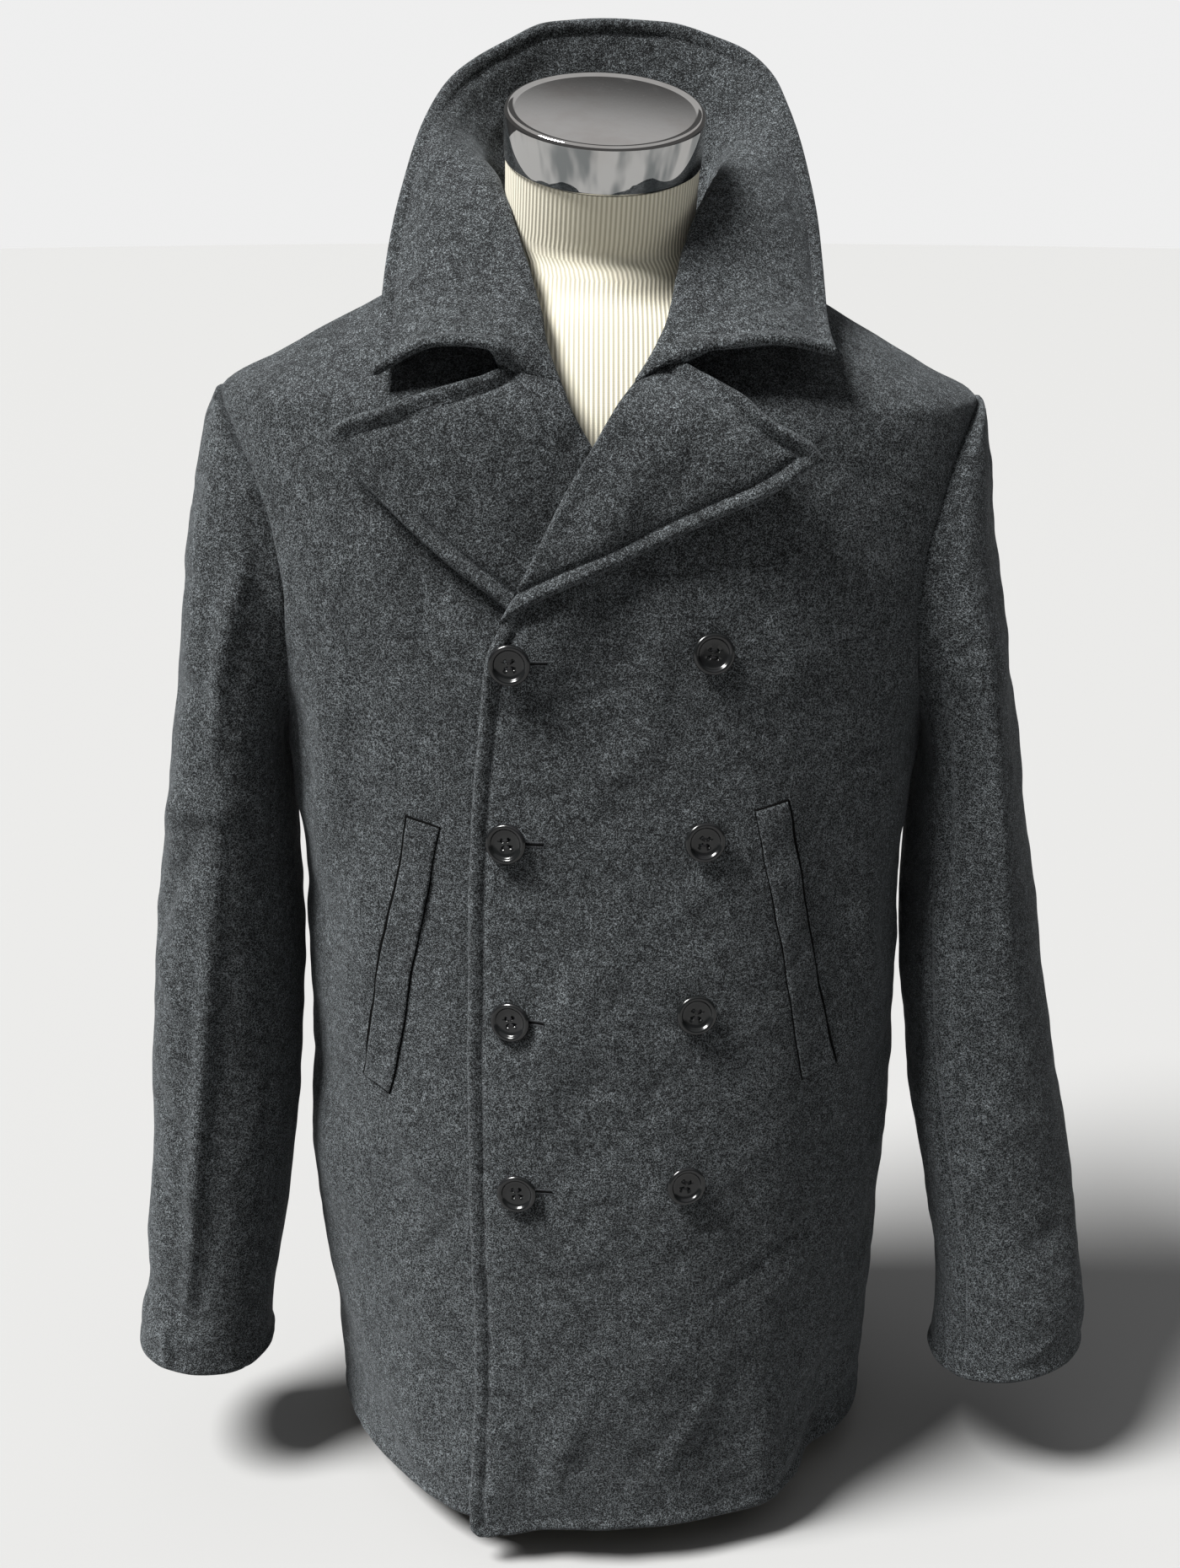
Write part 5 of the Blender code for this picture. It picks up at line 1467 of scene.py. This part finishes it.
# --------------------------------------------------------- lapels and collar
@dataclass
class Lapel:
    """A turned-back lapel lying on its front."""

    side: Side
    cut: Cut = Cut(0.19, 0.21, 0.016)
    pace: float = 0.0013
    gorge_length: float = 0.155
    inset: float = 0.0015
    roll_lift: float = 0.002
    sunk: float = 0.0040

    def __post_init__(self) -> None:
        """Reads this lapel's tables."""
        left = self.side is Side.LEFT
        self.edge = tracks(LAPEL_NAMES, LAPEL_LEFT_EDGE if left else LAPEL_RIGHT_EDGE, even=True)
        self.top_rows = np.array(LAPEL_LEFT_TOP if left else LAPEL_RIGHT_TOP)
        self.top = tracks(LAPEL_TOP_NAMES, self.top_rows[1:])
        self.notch = float(self.top_rows[1][0])
        self.low_z = SIZE.break_z + 0.002 if left else 0.7000

    def top_line(self, t: Array) -> Array:
        """(x, z, lift) of the upper edge: straight gorge, then past the notch."""
        share = np.clip(t / self.notch, 0, 1)[..., None]
        gorge = (1 - share) * self.top_rows[0][1:] + share * self.top_rows[1][1:]
        past = np.stack([self.top[k](t) for k in ("x", "z", "lift")], -1)
        return np.where((t <= self.notch)[..., None], gorge, past)

    def plan(self, s: Array, t: Array) -> Array:
        """(x, z, lift); s from break to gorge, t from roll line outwards."""
        s, t = np.broadcast_arrays(np.asarray(s, float), np.asarray(t, float))
        z1 = SIZE.gorge_z - self.inset
        z_roll = self.low_z + (z1 - self.low_z) * s
        rise = ease(s / 0.3) if self.side is Side.LEFT else ease((s - 0.5) / 0.3)
        inset = self.side.value * self.inset
        x_roll = DRAPE.roll_x(self.side, z_roll) - inset
        roll = np.stack((x_roll, z_roll, self.roll_lift * rise), -1)
        outer = np.stack([self.edge[k](s) for k in ("x", "z", "lift")], -1)
        end_roll = np.array((float(DRAPE.roll_x(self.side, z1)) - inset, z1, self.roll_lift))
        end_edge = np.array([float(self.edge[k](1.0)) for k in ("x", "z", "lift")])
        tt = t[..., None]
        flat = (1 - tt) * roll + tt * outer
        return flat + s[..., None] ** 3 * (self.top_line(t) - ((1 - tt) * end_roll + tt * end_edge))

    def shape(self) -> ClothPiece:
        """Works out the lapel's grid."""
        at = np.linspace(0, 1, 41)
        probe = self.plan(at[:, None], np.array([[0.0, 1.0]]))
        width = np.hypot(*(probe[:, 1, :2] - probe[:, 0, :2]).T)
        s = shares(np.array([self.gorge_length]), (0.0, 0.002, 0.004, 0.007), LADDER, self.pace)[0]
        w = np.interp(s, at, width)
        t = shares(w, (0.0, 0.0008, 0.002, 0.004, 0.007), LADDER, self.pace)
        flat = self.plan(s[:, None], t)
        out = SIZE.lay + flat[..., 2] + SIZE.lapel_wall / 2
        if self.side is Side.LEFT:
            out = out - self.sunk * (1 - ease(s / 0.13))[:, None]
        mid, n = CALM.front(self.side, flat[..., 0], flat[..., 1], out)
        own = unit(np.cross(np.gradient(mid, axis=1), np.gradient(mid, axis=0)))
        own = np.where(((own * n).sum(-1) < 0)[..., None], -own, own)
        n = unit(0.5 * n + 0.5 * own)
        cut = int(np.searchsorted(t[-1], self.notch))
        borders = [Border(np.concatenate((mid[:, -1], mid[-1, cut:][::-1])), Kind.TURNED),
                   Border(mid[:, 0], Kind.ROLLED), Border(mid[-1, :cut + 1], Kind.SEAMED)]
        rumple = Rumple(41 if self.side is Side.LEFT else 42, ((0.035, 0.00020), (0.016, 0.00010)))
        return ClothPiece("lapel_%s_cloth" % self.side.word, mid, n, SIZE.lapel_wall, borders,
                          rumple, puff=0.0024, groove=0.0018)

    def build(self, wardrobe: Wardrobe) -> None:
        """Makes the lapel and its stitching."""
        piece = self.shape()
        node = "lapel_%s" % self.side.word
        hand_over(piece.make(wardrobe.melton), [node], cut=self.cut.on(self.side, "front"))
        sew(node + "_stitching", [piece.seam_path(Kind.TURNED, SIZE.stitch_in)], wardrobe)


@dataclass
class Collar:
    """The turned-up collar, both layers closed round their edge."""

    lapels: dict[Side, Lapel]
    cut: Cut = Cut(0.62, 0.15, 0.075)
    pace: float = 0.0032
    depth: float = 0.145
    neck_share: float = 0.90
    overlap: float = 0.0014
    between: float = 0.0004

    def __post_init__(self) -> None:
        """Reads the collar's table."""
        self.rows = tracks(COLLAR_NAMES, COLLAR_ROWS, even=True)
        self.wave = tracks(("x", "rise"), COLLAR_WAVE, even=True)["rise"]

    def seam(self, side: Side) -> tuple[Array, int, Array]:
        """Seam stations from centre back to the notch.

        Args:
            side: Which half.

        Returns:
            The stations, the index of the last one before the gorge, and the
            normals of the gorge stations.
        """
        fine = [SIZE.neck_side_z - (SIZE.neck_side_z - SIZE.nape_z) * math.cos(math.radians(a))
                for a in (0, 15, 30, 45, 60, 75, 87)]
        z = np.array(fine)
        turn = DRAPE.turn_at(np.maximum(BackPanel.neck_x(z), 1.5e-4), z, -1)
        back = DRAPE.point(side.value * turn, z)
        zf = np.array(fine[:0:-1] + [fine[0], 0.800, 0.789, 0.776, 0.764])
        out = 0.0036 * (1 - ease((zf - 0.768) / 0.030))
        front, _ = DRAPE.front(side, DRAPE.roll_x(side, zf), zf, out)
        lapel = self.lapels[side]
        t = np.array([0.0, 0.5, 1.0]) * lapel.notch
        flat = lapel.plan(np.ones(3), t)
        gorge, n = CALM.front(side, flat[:, 0], flat[:, 1] - 0.0012 + 0.0012 * t / lapel.notch,
                               SIZE.lay + flat[:, 2] + SIZE.lapel_wall / 2)
        return np.concatenate((back, front, gorge)), len(back) + len(front) - 1, n

    def sections(self, side: Side) -> tuple[Array, Array]:
        """Stations x 4 control points, and the level normals of the gorge ones."""
        seam, neck_end, level = self.seam(side)
        run = run_of(seam)
        on_neck = np.arange(len(seam)) <= neck_end
        past = (run - run[neck_end + 1]) / (run[-1] - run[neck_end + 1])
        at = np.where(on_neck, self.neck_share * run / run[neck_end + 1],
                      self.neck_share + (1 - self.neck_share) * past)
        pts = []
        for k in ("crest", "mid", "edge"):
            q = np.stack([self.rows["%s_%s" % (k, ax)](at) for ax in "xyz"], -1)
            if side is Side.RIGHT and k == "edge":
                q[:, 0], q[:, 2] = self.rows["edge_x_right"](at), self.rows["edge_z_right"](at)
            elif side is Side.RIGHT:
                q[:, 2] -= 0.004 * ease((at - 0.45) / 0.3)
            q[:, 0] *= side.value
            if k == "edge":
                q[:, 2] += self.wave(q[:, 0]) * ease((q[:, 2] - 0.89) / 0.03)
            pts.append(q)
        start = seam - unit(pts[0] - seam) * np.where(on_neck, self.overlap, 0.0)[:, None]
        normals = np.zeros_like(seam)
        normals[neck_end + 1:] = level
        return np.stack([start] + pts, axis=1), normals

    def shape(self) -> ClothPiece:
        """Works out the collar's grid, right front end to left front end."""
        right, right_n = self.sections(Side.RIGHT)
        left, left_n = self.sections(Side.LEFT)
        control = np.concatenate((right[::-1], left[1:]))
        level = np.concatenate((right_n[::-1], left_n[1:]))
        v = shares(np.array([self.depth]), (0.0, 0.0015, 0.004), LADDER, self.pace)[0]
        coarse = np.stack([curve(c, v) for c in control])
        gap = np.linalg.norm(np.diff(coarse, axis=0), axis=2).mean(1)
        run = np.concatenate(([0.0], np.cumsum(gap)))
        u = shares(np.array([run[-1]]), LADDER, LADDER, self.pace)[0] * run[-1]
        mid = through(run, coarse, np.gradient(coarse, run, axis=0), u)
        n = unit(np.cross(np.gradient(mid, axis=0), np.gradient(mid, axis=1)))
        if n[len(n) // 2, n.shape[1] // 2, 1] > 0:
            n = -n
        flat = read(u, run, level)
        weight = np.clip(np.linalg.norm(flat, axis=1), 0, 1)[:, None, None] \
            * np.exp(-(v / 0.08) ** 2)[None, :, None]
        n = unit(n * (1 - weight) + flat[:, None, :] * weight)
        rim = np.concatenate((mid[0], mid[1:-1, -1], mid[-1, ::-1]))
        borders = [Border(rim, Kind.TURNED), Border(mid[:, 0], Kind.SEAMED)]
        return ClothPiece("collar_cloth", mid, n, 2 * SIZE.collar_layer + self.between, borders,
                          Rumple(51, ((0.07, 0.0007), (0.03, 0.0003), (0.016, 0.00015))),
                          puff=0.0012, under=0.0010, both=1.0, groove=0.0007)

    def build(self, wardrobe: Wardrobe) -> None:
        """Makes the collar and the stitching of its upper layer."""
        piece = self.shape()
        obj = piece.make(wardrobe.melton)
        hand_over(obj, ["collar_upper", "collar_under"], cut=self.cut)
        sew("collar_stitching", [piece.seam_path(Kind.TURNED, SIZE.stitch_in)], wardrobe)


# ---------------------------------------------------------- welts and buttons
@dataclass
class Welt:
    """Slanted welt of a side pocket, free along its outer edge."""

    side: Side
    cut: Cut = Cut(0.026, 0.19, 0.0040, held="laid")
    wall: float = 0.0020
    lift: float = 0.0006
    gape: float = 0.0004
    painted_shade_lift: float = 0.00035
    painted_shade_wall: float = 0.0005
    stitch_row: int = 4

    def laid(self, s: Array, t: Array) -> Array:
        """(x, z) at shares down the welt and inwards from its opening edge."""
        c = np.array(WELT_LEFT if self.side is Side.LEFT else WELT_RIGHT)
        return (c[0] * (1 - s) + c[3] * s) * (1 - t) + (c[1] * (1 - s) + c[2] * s) * t

    def shape(self) -> ClothPiece:
        """Works out the welt's grid; its first column is the opening edge."""
        steps = (0.0, 0.0003, 0.0008, 0.0016, 0.0022, 0.0028, 0.004)
        s = shares(np.array([0.18]), steps, steps, 0.0026)[0][:, None, None]
        t = shares(np.array([0.02]), steps, steps, 0.0022)[0][None, :, None]
        flat = self.laid(s, t)
        gape = self.gape * np.sin(math.pi * s[..., 0]) * (1 - t[..., 0]) ** 2 \
            - self.gape * t[..., 0]
        out = self.lift + self.wall / 2 + gape
        mid, n = DRAPE.front(self.side, flat[..., 0], flat[..., 1], out)
        rim = np.concatenate((mid[:, 0], mid[-1, 1:], mid[::-1, -1][1:], mid[0, ::-1][1:]))
        return ClothPiece("pocket_welt_%s_cloth" % self.side.word, mid, n, self.wall,
                          [Border(rim, Kind.HEMMED)], Rumple(61, ((0.03, 0.0003), (0.012, 0.0001))),
                          puff=0.0, under=0.0, round_over=0.0022)

    def painted_shadow_strip(self) -> ClothPiece:
        """Near-black sheet under the welt: a painted shadow, showing as a dark line round it."""
        flat = self.laid(np.linspace(-0.006, 1.006, 110)[:, None, None],
                         np.linspace(-0.10, 1.025, 18)[None, :, None])
        mid, n = DRAPE.front(self.side, flat[..., 0], flat[..., 1], self.painted_shade_lift)
        return ClothPiece("pocket_mouth_%s" % self.side.word, mid, n, self.painted_shade_wall, [], SMOOTH)

    def build(self, wardrobe: Wardrobe) -> None:
        """Makes the welt with the stitching of its ends and sewn edge."""
        piece = self.shape()
        node = "pocket_welt_%s" % self.side.word
        hand_over(piece.make(wardrobe.melton), [node], cut=self.cut.on(self.side, "front"))
        # The near-black sheet round the welt is a painted shadow.
        hand_over(self.painted_shadow_strip().make(wardrobe.painted_shade))
        face, j = settle(piece.faces()[0]), self.stitch_row
        ends = [(grid[j, 2:-2], grid[-1 - j, 2:-2], grid[j:-j, -1 - j])
                for grid in (face, piece.normals)]
        sew(node + "_stitching", list(zip(*ends)), wardrobe, Needle(0.0030, 0.0021, 0.00024))


@dataclass
class Buttons:
    """Two columns of four turned buttons with thread, and the buttonholes."""

    radius: float = 0.0125
    height: float = 0.0044
    hole: float = 0.00105
    spread: float = 0.0021
    foot: float = 0.0017
    slit: float = 0.00055
    whipping: tuple[float, float] = (0.0005, 0.0019)
    slot: str = "button_black_gloss"

    def blank(self, wardrobe: Wardrobe) -> bpy.types.Mesh:
        """A button with its four holes, underside at z = 0."""
        r, h = self.radius, self.height
        profile = [(0.0, 0.0), (0.0090, 0.0), (0.0106, 0.0005), (0.0118, 0.0014), (r, 0.0025),
                   (r - 0.0001, h - 0.0013), (r - 0.0005, h - 0.0006), (r - 0.0012, h - 0.0001),
                   (0.0107, h), (0.0100, h - 0.0002), (0.0094, h - 0.0007), (0.0090, h - 0.0014),
                   (0.0085, h - 0.0019), (0.0077, h - 0.0022), (0.0060, h - 0.0024),
                   (0.0, h - 0.0023)]
        base = cast(spun(profile, 48), "button_turned", wardrobe.button, 60.0, 1e-6)
        cutter = bmesh.new()
        for sx, sy in ((1, 1), (-1, 1), (-1, -1), (1, -1)):
            at = Matrix.Translation((sx * self.spread, sy * self.spread, 0.003))
            bmesh.ops.create_cone(cutter, cap_ends=True, segments=16, radius1=self.hole,
                                  radius2=self.hole, depth=0.02, matrix=at)
        tool = cast(cutter, "button_drill", wardrobe.button)
        drill = base.modifiers.new("holes", "BOOLEAN")
        drill.object, drill.operation, drill.solver = tool, "DIFFERENCE", "EXACT"
        bpy.context.view_layer.update()
        graph = bpy.context.evaluated_depsgraph_get()
        mesh = bpy.data.meshes.new_from_object(base.evaluated_get(graph))
        for o in (base, tool):
            bpy.data.objects.remove(o, do_unlink=True)
        return mesh

    def seat(self, x: float, z: float) -> Matrix:
        """Place of a button on the left front."""
        low, high = (settle(DRAPE.front(Side.LEFT, np.array(x), np.array(z), np.array(out))[0])
                     for out in (0.0, 0.01))
        n = unit(high - low)
        rot = Vector((0, 0, 1)).rotation_difference(Vector(n)).to_matrix().to_4x4()
        return Matrix.Translation(Vector(low + n * self.foot)) @ rot

    def thread(self, bm: bmesh.types.BMesh, place: Matrix) -> None:
        """Two bars of thread across the holes and a shank below."""
        needle = Needle(radius=0.00032)
        top = self.height - 0.0021
        for sy in (1, -1):
            for shift in (-0.0003, 0.0003):
                a, b = (np.array(place @ Vector((x, sy * self.spread + shift, top)))
                        for x in (-self.spread, self.spread))
                needle.stitch(bm, a, b)
        bmesh.ops.create_cone(bm, cap_ends=True, segments=12, radius1=0.0021, radius2=0.0019,
                              depth=0.0026, matrix=place @ Matrix.Translation((0, 0, -0.0009)))

    def buttonhole(self, x: float, z: float) -> tuple[ClothPiece, list[tuple[Array, Array]]]:
        """Whipped slit from under a button towards the side seam.

        Args:
            x: The button's x.
            z: Its height.

        Returns:
            The dark slit, and the ends of the whipping stitches.
        """
        start, end = x + 0.004, x + self.radius + 0.0088
        across = np.linspace(start, end, 24)[None, :]
        up = np.array([-self.slit, 0.0, self.slit])[:, None]
        mid, n = DRAPE.front(Side.LEFT, across, z + up, 0.00035)
        # The near-black sheet laid in the slit is painted shade.
        slit = ClothPiece("buttonhole_slit_painted_shade", mid, n, 0.0005, [], SMOOTH)
        at = np.tile(np.linspace(start, end, 26), 2)
        way = np.repeat((-1.0, 1.0), 26)
        ends = [settle(DRAPE.front(Side.LEFT, at, z + way * far, 0.0003)[0])
                for far in self.whipping]
        return slit, list(zip(ends[0], ends[1]))

    def build(self, wardrobe: Wardrobe) -> None:
        """Makes the buttons, their thread and the four buttonholes."""
        mesh = self.blank(wardrobe)
        whipped: list[tuple[Array, Array]] = []
        for i, (z_edge, x_edge, x_far, z_far) in enumerate(BUTTON_ROWS):
            for column, x, z in (("right", x_edge, z_edge), ("left", x_far, z_far)):
                node = "button_%s_%d" % (column, i + 1)
                place = self.seat(x, z)
                own = mesh.copy()
                own.transform(place)
                hand_over(linked(node + "_turned", own), [node])
                bm = bmesh.new()
                self.thread(bm, place)
                hand_over(cast(bm, node + "_thread", wardrobe.dark_thread))
            slit, stitches = self.buttonhole(x_edge, z_edge)
            hand_over(slit.make(wardrobe.painted_shade))
            whipped += stitches
        needle = Needle(radius=0.00026)
        hand_over(cast(needle.row(whipped), "buttonholes", wardrobe.thread))


# ----------------------------------------------------------------------- form
@dataclass
class DressForm:
    """Limbless torso in rib jersey with a plated neck cap."""

    cap_r: float = 0.0597
    cap_h: float = 0.029
    tilt: float = math.radians(21.0)
    roll: float = math.radians(2.5)
    cap_top: Triple = (0.0, -0.030, 0.9105)
    seam: float = 0.0003
    around: int = 128
    rings: int = 150

    def cap_frame(self) -> Matrix:
        """Place of the cap: origin at the middle of its underside."""
        rot = Matrix.Rotation(self.tilt, 4, "X") @ Matrix.Rotation(self.roll, 4, "Y")
        return Matrix.Translation(self.cap_top) @ rot @ Matrix.Translation((0, 0, -self.cap_h))

    def loops(self) -> Array:
        """Control rings of the torso and neck, rings x points x 3."""
        turn = 2 * math.pi * np.arange(self.around) / self.around
        s, c = np.sin(turn), np.cos(turn)
        rings = []
        for z, half, front, back, power in FORM_ROWS:
            depth = np.where(c > 0, front, back)
            rings.append(settle(oval(turn, half, depth, power, np.full_like(turn, z))))
        frame = self.cap_frame()
        for below, half_x, half_y, share in NECK_RINGS:
            ring = []
            for a, b in zip(s, c):
                p = Vector((half_x * a, -half_y * b, -self.seam - below))
                leaning = frame @ p
                level = frame @ Vector((0, 0, p.z)) + Vector((p.x, p.y, 0.0))
                ring.append(np.array(leaning * share + level * (1 - share)))
            rings.append(np.array(ring))
        return np.array(rings)

    def torso(self, wardrobe: Wardrobe) -> bpy.types.Object:
        """The covered torso, closed below and under the cap."""
        control = self.loops()
        t = np.linspace(0, 1, self.rings)
        rings = np.stack([curve(control[:, j], t) for j in range(self.around)], axis=1)
        bm = bmesh.new()
        grid = bmesh.ops.create_grid(bm, x_segments=self.around, y_segments=self.rings - 1,
                                     size=0.5)
        cell = cells(grid["verts"], self.rings, self.around + 1)
        layer = bm.loops.layers.uv.new("cut")
        rise = run_of(rings[:, 0])
        girth = run_of(np.concatenate((rings, rings[:, :1]), axis=1), axis=1)
        for f in bm.faces:
            beyond = max(cell[v][1] for v in f.verts) > self.around // 2
            for loop in f.loops:
                i, j = cell[loop.vert]
                loop[layer].uv = (girth[i, j] - beyond * girth[i, -1], rise[i])
        for v, (i, j) in cell.items():
            v.co = rings[i, j % self.around]
        bmesh.ops.remove_doubles(bm, verts=bm.verts[:], dist=1e-6)
        bmesh.ops.holes_fill(bm, edges=[e for e in bm.edges if e.is_boundary], sides=0)
        return cast(bm, "form_torso_cover", wardrobe.jersey, 70.0)

    def cap(self, wardrobe: Wardrobe) -> bpy.types.Object:
        """The plated cap, turned with a rolled rim and a slightly sunk top."""
        r, h = self.cap_r, self.cap_h
        profile = [(0.0, 0.0), (r - 0.0016, 0.0), (r - 0.0004, 0.0005), (r, 0.0017),
                   (r, h - 0.0034), (r - 0.0003, h - 0.0019), (r - 0.0011, h - 0.0007),
                   (r - 0.0022, h), (r - 0.0034, h - 0.0001), (r - 0.0042, h - 0.0006),
                   (r - 0.0050, h - 0.0009),
                   (r - 0.0056, h - 0.0010), (r - 0.0066, h - 0.0010), (r - 0.020, h - 0.0010),
                   (0.0, h - 0.0010)]
        bm = spun(profile, 128)
        bmesh.ops.transform(bm, matrix=self.cap_frame(), verts=bm.verts[:])
        return cast(bm, "form_neck_cap_plated", wardrobe.cap, 50.0, 1e-6)

    def build(self, wardrobe: Wardrobe) -> None:
        """Makes the form."""
        hand_over(self.torso(wardrobe), ["form_torso"])
        hand_over(self.cap(wardrobe), ["form_neck_cap"])


# --------------------------------------------------------------------- studio
@dataclass
class Studio:
    """Pale floor, a dim room, one broad soft light from the coat's right, the camera."""

    walls: float = 0.09
    ceiling: float = 0.50
    seen: float = 0.86
    sun: float = 9.8
    softness: float = math.radians(20.0)
    rise: float = math.radians(57.0)
    swing: float = math.radians(67.0)
    horizon: tuple[float, float] = (0.653, 0.674)
    floor_radius: float = 14.0
    lens: float = 44.516
    sensor: float = 36.0
    eye: Triple = (-0.009, -1.2328, 0.9058)
    look_down: float = math.radians(19.0)

    def sky(self) -> None:
        """Pale room: dim walls, brighter ceiling, an even backdrop to the eye."""
        world = bpy.data.worlds.new("studio_sky")
        bpy.context.scene.world = world
        world.use_nodes = True
        nodes, links = world.node_tree.nodes, world.node_tree.links
        glow = nodes["Background"]
        glow.inputs["Color"].default_value = (1.0, 1.0, 1.0, 1.0)
        where = nodes.new("ShaderNodeTexCoord")
        split = nodes.new("ShaderNodeSeparateXYZ")
        links.new(where.outputs["Generated"], split.inputs[0])
        room = nodes.new("ShaderNodeMapRange")
        room.interpolation_type = "SMOOTHSTEP"
        for key, value in zip(("From Min", "From Max", "To Min", "To Max"),
                              (*self.horizon, self.walls, self.ceiling)):
            room.inputs[key].default_value = value
        links.new(split.outputs["Z"], room.inputs["Value"])
        ray = nodes.new("ShaderNodeLightPath")
        pick = nodes.new("ShaderNodeMix")
        links.new(ray.outputs["Is Camera Ray"], pick.inputs[0])
        links.new(room.outputs["Result"], pick.inputs[2])
        pick.inputs[3].default_value = self.seen
        links.new(pick.outputs[0], glow.inputs["Strength"])

    def light(self) -> None:
        """Hangs the broad light."""
        data = bpy.data.lights.new("broad_window", "SUN")
        data.energy, data.angle, data.color = self.sun, self.softness, (1.0, 0.995, 0.98)
        obj = linked("broad_window", data)
        way = Vector((-math.sin(self.swing) * math.cos(self.rise),
                      -math.cos(self.swing) * math.cos(self.rise), math.sin(self.rise)))
        obj.rotation_euler = (-way).to_track_quat("-Z", "Y").to_euler()

    def build(self) -> None:
        """Sets the whole studio up."""
        bm = bmesh.new()
        bmesh.ops.create_circle(bm, cap_ends=True, segments=96, radius=self.floor_radius)
        floor = cast(bm, "studio_floor", FloorFinish().dye())
        floor.data.transform(Matrix.Translation((0, 0, -0.0005)))
        self.sky()
        self.light()
        bpy.context.scene.view_settings.view_transform = "Standard"
        data = bpy.data.cameras.new("view")
        data.lens, data.sensor_width = self.lens, self.sensor
        camera = linked("view", data)
        camera.location = self.eye
        camera.rotation_euler = (math.radians(90.0) - self.look_down, 0.0, 0.0)
        bpy.context.scene.camera = camera


def main() -> None:
    """Builds the whole coat on its form."""
    logging.basicConfig(level=logging.INFO, format="%(name)s: %(message)s")
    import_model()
    wardrobe = Wardrobe.stocked()
    lapels = {side: Lapel(side) for side in Side}
    parts: list[Any] = []
    for side in Side:
        parts += [FrontPanel(side), BackPanel(side), Sleeve(side), lapels[side], Welt(side)]
    parts += [Collar(lapels), Buttons(), DressForm()]
    for part in parts:
        part.build(wardrobe)
    Studio().build()
    bpy.context.view_layer.update()


if __name__ == "__main__":
    main()
